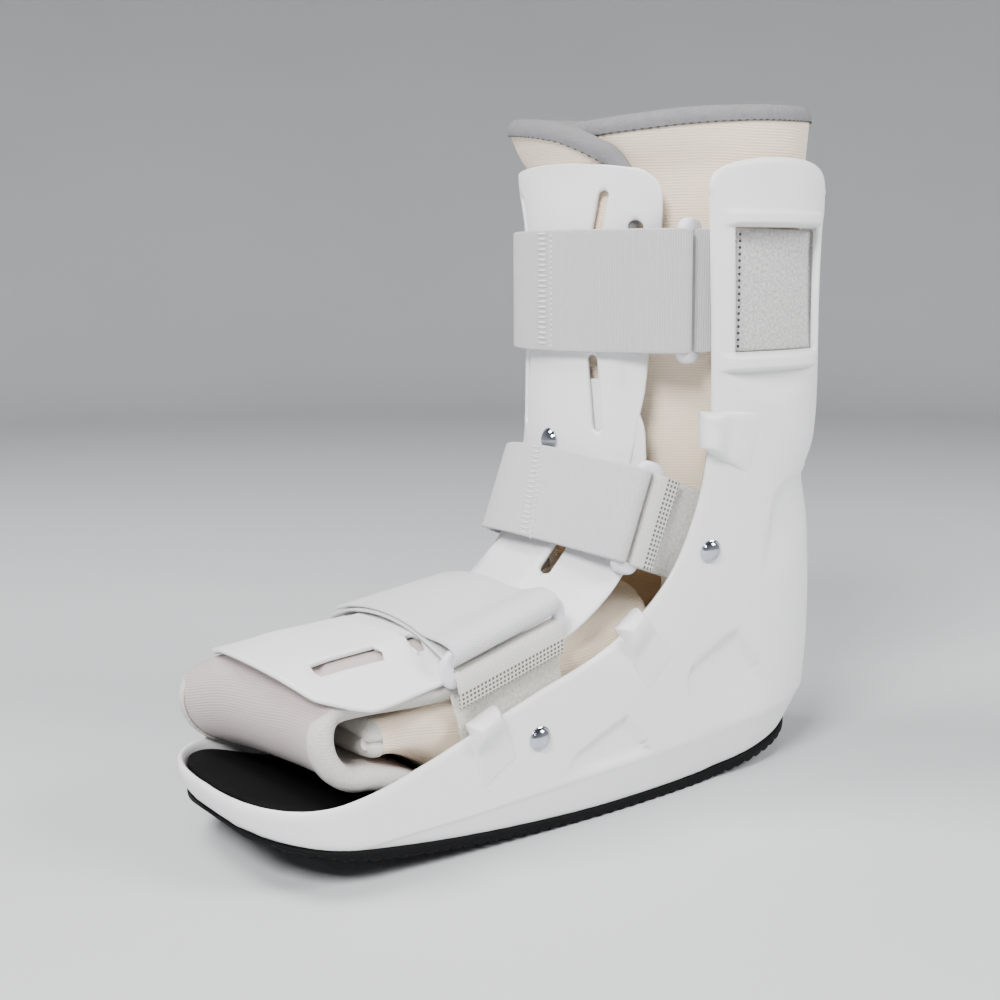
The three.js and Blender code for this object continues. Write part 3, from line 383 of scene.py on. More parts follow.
edge_run = path_lengths(FOOT_EDGE)
edge_y, edge_z = (smooth_table(edge_run, FOOT_EDGE[:, k]) for k in (0, 1))
edge_at = np.linspace(0, edge_run[-1], 900)
foot_edge = np.stack([edge_y(edge_at), edge_z(edge_at)], -1)
upright_front, upright_rake = (smooth_table(rows[:, 0], rows[:, 1]) for rows in (UPRIGHT_FRONT, UPRIGHT_RAKE))
front_foot = FOOT_EDGE[-1, 0]


def upright_top(y):
    """Height of the upright's top edge: a squared arch between its front and back edges."""
    middle = (front_foot + UPRIGHT_BACK) / 2
    share = np.clip((y - middle) / (UPRIGHT_BACK - middle), -1, 1)
    arch = np.sqrt(1 - share**2) ** UPRIGHT_TOP_POWER
    return UPRIGHT_SHOULDER + (UPRIGHT_TOP - UPRIGHT_SHOULDER) * arch


def lean(y, z):
    """How far a place on the upright moves along the boot: its front edge leans forward with height, its
    back edge is hollow beside the window and has a notch just above the heel cup."""
    share = np.clip((UPRIGHT_BACK - y) / (UPRIGHT_BACK - front_foot), 0, 1)
    forward = (upright_front(np.maximum(z, FOOT_EDGE[-1, 1])) - front_foot) * share
    notch = np.sin(np.pi * np.clip((z - CUP_TOP) / 24, 0, 1)) ** 1.5
    rake = upright_rake(z) * np.clip(1 - share * 1.6, 0, 1)
    return forward - rake - CUP_NOTCH * notch * np.clip(1 - share * 2.2, 0, 1) ** 1.5


def line_distance(y, z, corners):
    """Signed distance from places to a bent line, positive on the line's left."""
    best = np.full(y.shape, 1e9)
    signed = np.zeros(y.shape)
    for (y0, z0), (y1, z1) in zip(corners[:-1], corners[1:]):
        run = np.hypot(y1 - y0, z1 - z0)
        t = np.clip(((y - y0) * (y1 - y0) + (z - z0) * (z1 - z0)) / run**2, 0, 1)
        gap = np.hypot(y - y0 - t * (y1 - y0), z - z0 - t * (z1 - z0))
        side = (y1 - y0) * (z - z0) - (z1 - z0) * (y - y0)
        signed = np.where(gap < best, np.sign(side) * gap, signed)
        best = np.minimum(best, gap)
    return signed


RIBS = [(177.5, 184.6), (234.4, 240.6)]
RIB_ENDS = (53.5, 108.5)
RIB_RISE = 2.7
# Middle along the boot, half width, top, depth down from there and depth into the wall
SCOOP = (83.0, 25.0, 177.0, 13.0, 1.9)
CREASE = np.array([
    (-120, 14), (-97, 16.4), (-62, 17.6), (-17, 20.0), (15, 21.6), (61, 23.5), (111, 28.6), (150, 33),
])
CREASE_SLOPE = 0.24
PANEL_DEPTH = 2.0
PANELS = [
    [(88, 52), (76, 67), (51, 54.5), (48.8, 50), (61, 25)],
    [(24, 30), (15.4, 40.7), (-11.6, 29.8), (-16, 22)],
    [(118, 132), (96, 129), (91, 124), (89, 96)],
]
crease = smooth_table(CREASE[:, 0], CREASE[:, 1])


def relief(y, z):
    """What the moulding adds to the plain wall: two ribs, a scoop below them, the inward slope under the
    sole's crease and three shallow panels with soft steps."""
    added = np.zeros(np.broadcast(y, z).shape)
    ends = ramp(RIB_ENDS[0], RIB_ENDS[0] + 4, y) * (1 - ramp(RIB_ENDS[1] - 3, RIB_ENDS[1] + 1, y))
    for low, high in RIBS:
        across = np.clip(1 - np.abs(z - (low + high) / 2) / (high - low) * 2, 0, 1)
        added += RIB_RISE * ends * np.clip(across / 0.4, 0, 1) ** 0.5
    middle, half, top, depth, deep = SCOOP
    bowl_share = np.clip(1 - ((y - middle) / half) ** 2, 0, 1)
    fall = np.clip(1 - (top - z) / (depth * np.maximum(bowl_share, 0.05)), 0, 1) * (z < top)
    added -= deep * np.sqrt(bowl_share) * np.where(z < top, fall, 0)
    below = np.maximum(crease(y) - z, 0)
    added -= CREASE_SLOPE * below + 0.35 * ramp(0, 1.4, below)
    for corners in PANELS:
        inside = ramp(-1.5, 1.5, line_distance(y, z, corners))
        fade = ramp(0, 24, 40 - np.hypot(y - corners[1][0], (z - corners[1][1]) * 0.9))
        added -= PANEL_DEPTH * inside * fade * ramp(0, 5, z - crease(y))
    return added


# The lower wall's columns follow the foot edge, then the upright's frame and window, then the heel cup
toe_end = shell_toe(32.0) + 0.02
heel_end = SHELL_LEVELS[3, 2] - 0.05
toe_columns = toe_end + TOE_ROUND * np.linspace(0, 1, 25) ** TOE_POWER
edge_columns = edge_y(np.linspace(0, edge_run[-1], 150))
edge_columns = edge_columns[edge_columns > toe_columns[-1] + 0.8]
frame_columns = np.concatenate([
    strip(front_foot, WINDOW[0], RIM_ROUND, 1.2)[1:],
    strip(WINDOW[0], WINDOW[1], RIM_ROUND, 2.2)[1:],
    strip(WINDOW[1], UPRIGHT_BACK, RIM_ROUND, 1.6)[1:],
])
cup_columns = heel_end - (heel_end - UPRIGHT_BACK) * np.linspace(1, 0, 23)[1:] ** 2
columns = np.concatenate([toe_columns, edge_columns, frame_columns, cup_columns])
foot_top = np.interp(columns, foot_edge[:, 0], foot_edge[:, 1])
join = FOOT_EDGE[-1, 1] + (CUP_TOP - FOOT_EDGE[-1, 1]) * np.clip(
    (columns - front_foot) / (UPRIGHT_BACK - front_foot), 0, 1)
wall_top = np.where(columns < front_foot, foot_top, join)
LOWER_ROWS = 57


def follow_ends(y, z):
    """Moves the columns at toe and heel with the outline, which ends further in at some heights."""
    toe = (shell_toe(z) - shell_toe(32.0)) * (1 - ramp(toe_end + TOE_ROUND, -60, y))
    heel = (shell_back(z) - heel_end) * np.clip((y - UPRIGHT_BACK) / (heel_end - UPRIGHT_BACK), 0, 1)
    return y + np.where(y < 0, toe, heel)


def rim_round(y):
    """How far the wall's edge is rounded: more round the toe."""
    return RIM_ROUND + (TOE_RIM_ROUND - RIM_ROUND) * (1 - ramp(-110, -80, y))


wall_bottom = tray_bottom(follow_ends(columns, tray_bottom(columns)))
low_z, high_z = wall_bottom + RIM_ROUND, wall_top - rim_round(columns)
lower_z = np.concatenate([
    wall_bottom[:, None] + RIM_ROUND * EDGE_STEPS[None, :-1],
    low_z[:, None] + (high_z - low_z)[:, None] * np.linspace(0, 1, LOWER_ROWS)[None, :],
    wall_top[:, None] - rim_round(columns)[:, None] * EDGE_STEPS[None, -2::-1],
], 1)
lower_y = np.broadcast_to(columns[:, None], lower_z.shape)

upper = (columns >= front_foot - 1e-9) & (columns <= UPRIGHT_BACK + 1e-9)
upper_columns = columns[upper]
FIRST_LEVEL = 172.0
LAST_LEVEL = 243.0
levels = np.concatenate([
    np.arange(FIRST_LEVEL, 184.0, 0.55), strip(WINDOW[2], WINDOW[3], RIM_ROUND, 2.4),
    np.arange(WINDOW[3] + 0.4, LAST_LEVEL, 0.5), [LAST_LEVEL],
])
start = join[upper][:, None]
rising = start + (FIRST_LEVEL - start) * np.linspace(0, 1, 16)[None, :-1]
flat_levels = np.broadcast_to(levels[None, :], (len(upper_columns), len(levels)))
top_z = upright_top(upper_columns)[:, None]
closing = LAST_LEVEL + (top_z - LAST_LEVEL) * (1 - np.concatenate([
    np.linspace(1, 0.2, 8), [0.13, 0.08, 0.045, 0.02, 0.006, 0]]))[None, 1:]
upper_z = np.concatenate([rising, flat_levels, closing], 1)
upper_y = np.broadcast_to(upper_columns[:, None], upper_z.shape)
upper_y = upper_y + lean(upper_y, upper_z)

back_z = np.linspace(CUP_TOP, UPRIGHT_SHOULDER, 400)
front_z = np.linspace(FOOT_EDGE[-1, 1], UPRIGHT_SHOULDER, 400)
over_y = np.linspace(front_foot, UPRIGHT_BACK, 500)
bottom_y = np.linspace(-160, 160, 900)
shell_edges = np.concatenate([
    foot_edge,
    np.stack([front_foot + lean(np.full_like(front_z, front_foot), front_z), front_z], -1),
    np.stack([over_y + lean(over_y, upright_top(over_y)), upright_top(over_y)], -1),
    np.stack([UPRIGHT_BACK + lean(np.full_like(back_z, UPRIGHT_BACK), back_z), back_z], -1),
    along_line([(UPRIGHT_BACK, CUP_TOP), (160, CUP_TOP)], 0.3),
    np.stack([bottom_y, tray_bottom(bottom_y)], -1),
])
w0, w1, w2, w3 = WINDOW
window_line = along_line([(w0, w2), (w1, w2), (w1, w3), (w0, w3), (w0, w2)], 0.25)


def wall_panel(y, z, free, keep=None, window=None):
    """A panel of the shell's near wall between two of its grids of side-view places, with its free edges."""
    side_view = np.stack([y, z], -1)
    away = nearest(side_view, shell_edges)
    if window is not None:
        away = np.minimum(away, nearest(np.stack([window, z], -1), window_line))
    normal = wall_normal(y, z)
    added = relief(y, z)
    outer = np.stack([half_width(y, z), y, z], -1) + normal * added[..., None]
    if keep is None:
        normal[[0, -1], :, 0] = 0
        outer[[0, -1], :, 0] = 0
    thick = np.maximum(WALL + added, THINNEST)
    return sheet_parts(outer, normal, side_view, away, thick, rim_round(y), keep, free)


cell_y = (upper_columns[1:] + upper_columns[:-1]) / 2
cell_z = (upper_z[:-1, 1:] + upper_z[1:, 1:] + upper_z[:-1, :-1] + upper_z[1:, :-1]) / 4
in_window = ((cell_y > w0) & (cell_y < w1))[:, None] & (cell_z > w2) & (cell_z < w3)
window_y = np.broadcast_to(upper_columns[:, None], upper_z.shape)
lower_free = np.zeros(lower_z.shape, bool)
lower_free[:, 0] = True
lower_free[:, -1] = (columns <= front_foot) | (columns >= UPRIGHT_BACK)
upper_free = np.zeros(upper_z.shape, bool)
upper_free[[0, -1]] = True
upper_free[:, -1] = True
beside = np.minimum(np.abs(window_y - w0), np.abs(window_y - w1)) < 1e-6
level_with = np.minimum(np.abs(upper_z - w2), np.abs(upper_z - w3)) < 1e-6
upper_free |= beside & (upper_z > w2 - 1e-6) & (upper_z < w3 + 1e-6)
upper_free |= level_with & (window_y > w0 - 1e-6) & (window_y < w1 + 1e-6)
wall_parts = [wall_panel(follow_ends(lower_y, lower_z), lower_z, lower_free),
              wall_panel(upper_y, upper_z, upper_free, ~in_window, window_y)]


def slab_part(y, half, level, thick, rounding, up=1.0):
    """A flat pad on the sole's outline: its outer face at a level, with rounded sides and ends."""
    across = strip(-1, 1, 0.08, 0.09)
    x = half[:, None] * across[None, :]
    grid = np.stack([x, np.broadcast_to(y[:, None], x.shape), np.broadcast_to(level[:, None], x.shape)], -1)
    normal = np.broadcast_to(np.array([0.0, 0.0, up]), grid.shape)
    ends = np.minimum(y - y[0], y[-1] - y)[:, None]
    away = np.minimum((1 - np.abs(across))[None, :] * half[:, None], ends)
    thick = np.broadcast_to(np.reshape(thick, (-1, 1)), x.shape)
    return sheet_parts(grid, normal, grid[..., :2], away, thick, rounding)


def inset_outline(level, inset, rounding, spacing):
    """Places along the sole and the half width there of the wall's outline at a height above the tray's
    underside, moved in by an inset at right angles to itself."""
    y = (toe_end + heel_end - (heel_end - toe_end) * np.cos(np.linspace(0, np.pi, 1200))) / 2
    z = tray_bottom(y) + level
    line = np.stack([half_width(y, z) + relief(y, z), y], -1)[half_width(y, z) > 0.2]
    run = unit(np.gradient(line, axis=0))
    line = line - inset * np.stack([run[:, 1], -run[:, 0]], -1)
    line = line[line[:, 0] > 1.0]
    line = line[np.argsort(line[:, 1])]
    places = strip(line[0, 1], line[-1, 1], rounding, spacing)
    return places, np.interp(places, line[:, 1], line[:, 0])


# Tray floor between the walls, under the insole
floor_y, floor_half = inset_outline(1.5, 1.4, 1.0, 3.0)
tray_part = slab_part(floor_y, floor_half, tray_bottom(floor_y) + WALL, WALL - 0.3, 1.0)

# Strap guides: a rounded nose over the shell's edge that runs out backwards into the wall
GUIDES = [
    # lip top, lip bottom, run-out top, run-out bottom, rise
    ((46.5, 162.0), (47.5, 147.5), (78.0, 161.0), (73.0, 134.0), 6.0),
    ((21.5, 84.5), (11.0, 77.5), (42.0, 62.0), (27.0, 47.0), 6.6),
    ((-50.0, 57.5), (-62.5, 52.5), (-38.0, 35.0), (-56.0, 24.0), 6.6),
]
GUIDE_ROOT = 1.8
guide_parts = []
for lip_top, lip_bottom, run_top, run_bottom, guide_rise in GUIDES:
    s = strip(0, 1, 0.14, 0.04)[:, None]
    w = strip(0, 1, 0.24, 0.05)[None, :]
    corners = np.array([lip_top, lip_bottom, run_top, run_bottom])
    lip = corners[1] + (corners[0] - corners[1]) * w[..., None]
    run = corners[3] + (corners[2] - corners[3]) * w[..., None]
    at = lip + (run - lip) * s[..., None]
    y, z = at[..., 0], at[..., 1]
    normal = wall_normal(y, z)
    fading = 0.5 * (1 - s) + 0.5 * (1 - ramp(0.16, 0.5, s))
    height = guide_rise * fading * (0.72 + 0.28 * ramp(0.75, 0.1, w))
    base = np.stack([half_width(y, z), y, z], -1)
    length_s = np.linalg.norm(run - lip, axis=-1)
    length_w = np.linalg.norm(corners[0] - corners[1]) * (1 - s) + np.linalg.norm(corners[2] - corners[3]) * s
    away = np.minimum(np.minimum(s, 1 - s) * length_s, np.minimum(w, 1 - w) * length_w)
    hook = WALL * 1.2 * (1 - ramp(0, 0.28, s)) + 0 * w
    guide_parts.append(sheet_parts(
        base + normal * height[..., None], normal, at, away, height + GUIDE_ROOT + hook, 3.4))


def compute(tree, operation, *values):
    """The outcome of one kind of sum, such as MULTIPLY, on values or sockets."""
    return put(tree, "ShaderNodeMath", dict(enumerate(values)), operation=operation).outputs[0]


def span(tree, value, low, high, start, end):
    """A value carried from one range to another and held at its ends."""
    return put(tree, "ShaderNodeMapRange", {0: value, 1: low, 2: high, 3: start, 4: end}).outputs[0]


def plastic_finish(name, colour, shade, rough):
    """Moulded plastic: two close whites in soft clouds, a fine grain, and a smoother worn line at edges."""
    finish, tree, shader = new_finish(name)
    place = put(tree, "ShaderNodeTexCoord").outputs["Object"]
    cloud = noise(tree, place, 14.0, 4.0)
    tree.links.new(mix(tree, cloud, shade, colour), shader.inputs["Base Color"])
    dents = compute(tree, "MULTIPLY_ADD", noise(tree, place, 45.0), 2.0, noise(tree, place, 900.0))
    set_bump(tree, shader, dents, 0.12, 0.0002)
    edge = put(tree, "ShaderNodeAttribute", attribute_name="edge").outputs["Fac"]
    worn = span(tree, edge, 0.0, 3.0, -0.06, 0.0)
    patch = span(tree, cloud, 0.3, 0.7, rough - 0.05, rough + 0.07)
    tree.links.new(compute(tree, "ADD", worn, patch), shader.inputs["Roughness"])
    shader.inputs["IOR"].default_value = 1.48
    shader.inputs["Specular IOR Level"].default_value = 0.42
    return finish


shell_finish = plastic_finish("white shell plastic", (239, 239, 238), (233, 233, 232), 0.4)
near_parts = wall_parts + guide_parts
shell = make_piece("shell_moulding", near_parts + [mirrored(part) for part in near_parts] + [tray_part])
dress(shell, shell_finish, "shell", "shell")

# Tread: black rubber under the tray, with half-round bars across it that show as a scalloped edge
TREAD_PITCH = 6.0
SCALLOP = 1.9
tread_y, tread_half = inset_outline(0.6, 0.5, 0.8, 0.6)
bar = (tread_y / TREAD_PITCH + 0.5) % 1.0 - 0.5
notch = SCALLOP * (1 - np.sqrt(1 - (1.9 * bar) ** 2))
tread_thick = TREAD - notch - 2.6 * ramp(-95, -135, tread_y)
tread_part = slab_part(tread_y, tread_half, tray_bottom(tread_y) - tread_thick, tread_thick - 0.05, 0.9, -1.0)
rubber = mottled_finish("black rubber", (7, 7, 8), (15, 15, 16), 60.0, 5.0, 0.7, 0.12,
                        (1500.0, 2.0, 0.2, 0.0003))
dress(make_piece("tread", [tread_part]), rubber, "tread", "outsole")

# Insole: a soft black foam sheet lying in the tray, bare at the toe
INSOLE = 5.0
TOE_LIFT = 4.0
insole_y, insole_half = inset_outline(WALL + INSOLE, WALL + 0.4, 2.4, 2.0)
insole_half = insole_half * (1 - 0.07 * ramp(20, 80, insole_y))
insole_y = insole_y - 6.0 * ramp(40, insole_y[-1], insole_y)
insole_z = tray_bottom(insole_y) + WALL + INSOLE + TOE_LIFT * ramp(-92, -126, insole_y)
foam = mottled_finish("black foam", (6, 6, 6), (11, 11, 12), 25.0, 4.0, 0.8, 0.12,
                      (2600.0, 1.0, 0.25, 0.0002))
insole = make_piece("insole_foam", [slab_part(insole_y, insole_half, insole_z, INSOLE - 0.2, 2.0)])
dress(insole, foam, "insole", "insole")

# Liner, foot part: a padded knit wrap round the foot under the front plate. The toe flap, of the same
# knit, lies on the insole, rolls up round the toes and back under the plate; pale tape binds its edges.
PLATE = 2.2
FLAP_THICK = 7.6
FLAP_NEAR = 45.5
FLAP_FAR = -54.0
FLAP_START = -66.0
FLAP_FRONT = -133.5
FLAP_LOW = 33.0
FLAP_TUCK = 7.0
FLAP_BACK = -58.0
FLAP_ROOF = -116.0
FLAP_GAP = 0.8
FLAP_BULGE = 0.92
# The front plate over the foot, from the shin to its front edge: y, z, half width, drop of its sides
INSTEP_ROWS = np.array([
    (18.7, 174, 24, 5.4), (18.7, 168, 33, 10.6), (18.6, 158, 37.5, 14.2), (18.4, 148, 39, 15.4),
    (15.8, 133, 41, 16.5), (9.2, 117, 43.5, 18), (-2, 103.5, 44.5, 18), (-18, 89.8, 44, 15),
    (-42, 85.2, 43.5, 13), (-72, 82, 46.4, 14), (-100, 80, 53, 14), (-112, 79, 52, 12.6),
    (-132, 77.2, 51, 10),
])
# Distance of the plate's fold lines from its middle, by the distance run from its top
INSTEP_FOLD = np.array([
    (0, 15), (30, 17.5), (62, 19.5), (92, 21), (118, 22.5), (150, 25.5), (181, 27.6), (195, 28), (260, 28),
])
FOLD_SHARE = 0.72
instep_run = path_lengths(INSTEP_ROWS[:, :2])
instep_y, instep_z, instep_half, instep_drop = (smooth_table(instep_run, INSTEP_ROWS[:, k]) for k in range(4))
instep_fold = smooth_table(INSTEP_FOLD[:, 0], INSTEP_FOLD[:, 1])


def plate_fall(run, c):
    """How far the instep plate lies under its middle line: a shallow bow, and flanks that slope down outside
    its fold lines."""
    q = np.abs(c) / instep_half(run)
    fold = np.minimum((instep_fold(run) - 4.0) / instep_half(run), 0.8)
    share = FOLD_SHARE * (1 - 0.8 * ramp(instep_run[-2] - 10, instep_run[-1] - 8, run))
    return instep_drop(run) * ((1 - share) * q**2 + share * np.maximum(q - fold, 0) / (1 - fold))


def grid_normals(grid, outward):
    """Unit normals of a grid, turned to the side that a given direction or grid of directions points to."""
    normal = unit(np.cross(np.gradient(grid, axis=0), np.gradient(grid, axis=1)))
    return normal * np.sign((normal * outward).sum(-1).mean())


def lengths(grid, axis):
    """Distance run along one direction of a grid."""
    steps = np.linalg.norm(np.diff(grid, axis=axis), axis=-1)
    start = np.zeros_like(np.take(steps, [0], axis=axis))
    return np.concatenate([start, np.cumsum(steps, axis=axis)], axis=axis)


def border_distance(u, v):
    """Distance to the nearest border of a grid, from the lengths run along its two directions."""
    return np.minimum(np.minimum(u, u[-1:] - u), np.minimum(v, v[:, -1:] - v))


foot_runs = np.linspace(instep_run[5], instep_run[-1], 300)


def under_plate(x, y):
    """Height of the front plate's underside over a place on the foot."""
    run = np.interp(y, instep_y(foot_runs)[::-1], foot_runs[::-1])
    return instep_z(run) - plate_fall(run, x) - PLATE


def insole_top(y):
    """Height of the insole behind its toe."""
    return tray_bottom(y) + WALL + INSOLE


flap_x = strip(FLAP_FAR, FLAP_NEAR, 3.8, 2.4)
flap_t = strip(0, 1, 0.035, 0.011)
x = np.broadcast_to(flap_x[None, :], (len(flap_t), len(flap_x)))
low = FLAP_LOW - 2.0 * ramp(20, -50, x)
front = FLAP_FRONT + 9.0 * ramp(FLAP_FAR, FLAP_NEAR, x)
high = under_plate(x, FLAP_ROOF) - FLAP_GAP
bulge = (high - low) / 2
turn_y = front + bulge * FLAP_BULGE
lower_run = FLAP_START - turn_y
upper_run = FLAP_BACK - turn_y
arc_run = np.pi * bulge * 0.96
s = flap_t[:, None] * (lower_run + arc_run + upper_run)
angle = np.clip((s - lower_run) / arc_run, 0, 1) * np.pi
y = turn_y - bulge * FLAP_BULGE * np.sin(angle) + FLAP_TUCK * (1 + np.cos(angle)) / 2
y = np.where(s < lower_run, FLAP_START - s * (lower_run - FLAP_TUCK) / lower_run, y)
y = np.where(s > lower_run + arc_run, turn_y + s - lower_run - arc_run, y)
z = low + bulge * (1 - np.cos(angle))
down = np.clip((y - turn_y - FLAP_TUCK) / (FLAP_START - turn_y - FLAP_TUCK), 0, 1) ** 1.5
z = np.where(s < lower_run, low + (insole_top(FLAP_START) + FLAP_GAP - low) * down, z)
z = np.where(s > lower_run + arc_run, under_plate(x, np.maximum(y, FLAP_ROOF)) - FLAP_GAP, z)
sag = 0.9 * np.sin(x / 9 + 1) * np.sin(angle) + 0.6 * np.sin(x / 21) * np.sin(angle)
tapered = np.where(x < 0, x * (1 - 0.17 * ramp(-114, -98, y)), x)
flap = np.stack([tapered, y - sag * 0.6, z], -1)
flap_normal = grid_normals(flap, np.stack([0 * x, -np.sin(angle), -np.cos(angle)], -1))
flap_u, flap_v = lengths(flap, 0), lengths(flap, 1)
flap_part = sheet_parts(flap, flap_normal, np.stack([flap_v, flap_u], -1), border_distance(flap_u, flap_v),
                        FLAP_THICK, 3.6)


def cloth_part(grid, normal, thick, rounding):
    """A sheet with four free borders, laid flat by the lengths run along its grid."""
    u, v = lengths(grid, 0), lengths(grid, 1)
    return sheet_parts(grid, normal, np.stack([u, v], -1), border_distance(u, v), thick, rounding)


def tape_part(outer, normal, out, thick, lap, cover=0.55):
    """Tape folded over a padded edge. Outer holds the sheet's outer face along the edge, normal its
    normals and out the direction off the sheet; the tape laps both faces and rounds the edge."""
    reach = thick / 2
    turn = np.linspace(0, np.pi, 15)
    inward = np.linspace(lap, reach, 7)[:-1]
    place = np.concatenate([inward, reach - reach * np.sin(turn), inward[::-1]])
    side = np.concatenate([np.full(6, 1.0), np.cos(turn), np.full(6, -1.0)])
    place = np.where(np.abs(side) < 1, place - cover * np.sqrt(1 - side**2), place)
    middle = outer - normal * reach
    grid = (middle[:, None] - out[:, None] * place[None, :, None]
            + normal[:, None] * (side * (reach + cover))[None, :, None])
    ahead = out[:, None] * (1 - np.abs(side))[None, :, None]
    facing = grid_normals(grid, normal[:, None] * side[None, :, None] + ahead)
    return cloth_part(grid, facing, 1.1, 0.6)


near_edge, far_edge = flap[:, -1], flap[:, 0]
tape_parts = [
    tape_part(near_edge, flap_normal[:, -1], np.broadcast_to([1.0, 0, 0], near_edge.shape), FLAP_THICK, 7.0),
    tape_part(far_edge, flap_normal[:, 0], np.broadcast_to([-1.0, 0, 0], far_edge.shape), FLAP_THICK, 7.0),
]


def signed_power(value, power):
    """A value raised to a power, with its sign kept."""
    return np.sign(value) * np.abs(value) ** power


# The wrap round the foot: a squared padded tube from behind the toes to the instep
TUBE_FRONT = -98.0
TUBE_BACK = 40.0
TUBE_FLOOR = 41.0
TUBE_ROOF = 57.5
TUBE_POWER = 0.55
LINER = 8.0
tube_y = strip(TUBE_FRONT, TUBE_BACK, 3.8, 2.6)
tube_turn = np.linspace(0, 2 * np.pi, 121)
half = half_width(tube_y, np.full_like(tube_y, 42.0)) - 10.5
opened = ramp(-92, -40, tube_y)
floor_z = TUBE_FLOOR + (insole_top(tube_y) + 1.0 - TUBE_FLOOR) * opened
roof_z = np.minimum(under_plate(np.full_like(tube_y, 18.0), tube_y) - FLAP_THICK - 2.0, 74.0)
roof_z = roof_z + 4 * ramp(-40, 20, tube_y) + 12 * ramp(0, 40, tube_y)
roof_z = TUBE_ROOF + (roof_z - TUBE_ROOF) * opened
middle_z, high_half = (floor_z + roof_z) / 2, (roof_z - floor_z) / 2
round_x = signed_power(np.cos(tube_turn), TUBE_POWER)
round_z = signed_power(np.sin(tube_turn), TUBE_POWER)
puff = 1 + 0.012 * np.sin(tube_y / 7.0)[:, None] * np.sin(tube_turn * 5)[None, :]
tube = np.stack([
    half[:, None] * round_x[None, :] * puff, np.broadcast_to(tube_y[:, None], puff.shape),
    middle_z[:, None] + high_half[:, None] * round_z[None, :] * puff], -1)
tube_normal = grid_normals(tube, np.stack([round_x, 0 * round_x, round_z], -1)[None])
tube_normal[:, -1] = tube_normal[:, 0]
tube_u, tube_v = lengths(tube, 0), lengths(tube, 1)
tube_part = sheet_parts(tube, tube_normal, np.stack([tube_u, tube_v], -1),
                        np.minimum(tube_u, tube_u[-1:] - tube_u), LINER, 3.8)
front_out = np.broadcast_to([0, -1.0, 0], tube[0].shape)
tape_parts.append(tape_part(tube[0], tube_normal[0], front_out, LINER, 5.0))

# Its heel: a padded wall that stands in the shell's heel and meets the leg wrap
LINER_SEAM = 104.0
HEEL_INSET = 10.2
HEEL_BLUNT = 2.4
heel_turn = np.radians(strip(-118, 118, 6, 2.4))
heel_rise = strip(0, 1, 0.05, 0.04)
heel_z = insole_top(90.0) + 1 + (LINER_SEAM - insole_top(90.0) - 1) * heel_rise
side_reach = shell_side(heel_z) - HEEL_INSET
back_reach = shell_back(heel_z) - HEEL_INSET - LEG_Y
ray_x, ray_y = np.sin(heel_turn)[:, None], np.cos(heel_turn)[:, None]
grow = np.abs(ray_x / side_reach) ** HEEL_BLUNT + np.abs(np.maximum(ray_y, 0) / back_reach) ** HEEL_BLUNT
grow = grow ** (-1 / HEEL_BLUNT)
forward = np.minimum(ray_y, 0) * 1.5 * side_reach
heel = np.stack([ray_x * np.minimum(grow, side_reach / np.maximum(np.abs(ray_x), 0.05)),
                 LEG_Y + np.where(ray_y > 0, ray_y * grow, forward),
                 np.broadcast_to(heel_z, grow.shape)], -1)
heel_normal = grid_normals(heel, np.stack([ray_x + 0 * grow, ray_y + 0 * grow, 0 * grow], -1))
heel_part = cloth_part(heel, heel_normal, LINER, 3.8)


def wave(tree, value, length):
    """A sine of a value with a wave length."""
    return compute(tree, "SINE", compute(tree, "MULTIPLY", value, 2 * np.pi / length))


def knit_finish(name, colour, shade, tone):
    """Ribbed knit: fine ridges across the cloth's length, broken into stitches, with soft clouds of a second
    tone, shade painted in the valleys between the ridges as a third tone, and a sheen of loose fibres."""
    finish, tree, shader = new_finish(name)
    flat = put(tree, "ShaderNodeUVMap", uv_map="flat").outputs[0]
    wander = put(tree, "ShaderNodeTexNoise", {"Vector": flat, "Scale": 0.08, "Detail": 2.0})
    shifted = put(tree, "ShaderNodeMix", {0: 0.004, 6: flat, 7: wander.outputs["Color"]}, data_type="RGBA",
                  blend_type="LINEAR_LIGHT")
    axes = put(tree, "ShaderNodeSeparateXYZ", {0: shifted.outputs[2]}).outputs
    woven = compute(tree, "MULTIPLY_ADD", wave(tree, axes[0], 0.8), 0.35, wave(tree, axes[1], 1.15))
    height = compute(tree, "MULTIPLY_ADD", noise(tree, flat, 2.2, 3.0), 2.0, woven)
    set_bump(tree, shader, height, 0.24, 0.0005)
    base = mix(tree, noise(tree, flat, 0.045, 4.0), colour, tone)
    # Painted shade: the colour goes to the shade tone in the valleys between the ridges, where the height is
    # low.
    deep = span(tree, height, -0.6, 1.9, 0.55, 0.0)
    tree.links.new(mix(tree, deep, base, shade), shader.inputs["Base Color"])
    shader.inputs["Roughness"].default_value = 0.92
    shader.inputs["Specular IOR Level"].default_value = 0.15
    shader.inputs["Sheen Weight"].default_value = 0.25
    shader.inputs["Sheen Roughness"].default_value = 0.5
    return finish


def tape_finish(name, colour, shade):
    """Smooth woven tape: a close fine twill over soft clouds of two tones."""
    finish, tree, shader = new_finish(name)
    flat = put(tree, "ShaderNodeUVMap", uv_map="flat").outputs[0]
    twill = put(tree, "ShaderNodeTexWave", {"Vector": flat, "Scale": 0.5, "Distortion": 1.5, "Detail": 2.0},
                bands_direction="DIAGONAL").outputs["Fac"]
    tree.links.new(mix(tree, noise(tree, flat, 0.3, 4.0), colour, shade), shader.inputs["Base Color"])
    height = compute(tree, "MULTIPLY_ADD", noise(tree, flat, 0.5), 4.0, twill)
    set_bump(tree, shader, height, 0.3, 0.0004)
    shader.inputs["Roughness"].default_value = 0.85
    shader.inputs["Specular IOR Level"].default_value = 0.2
    return finish
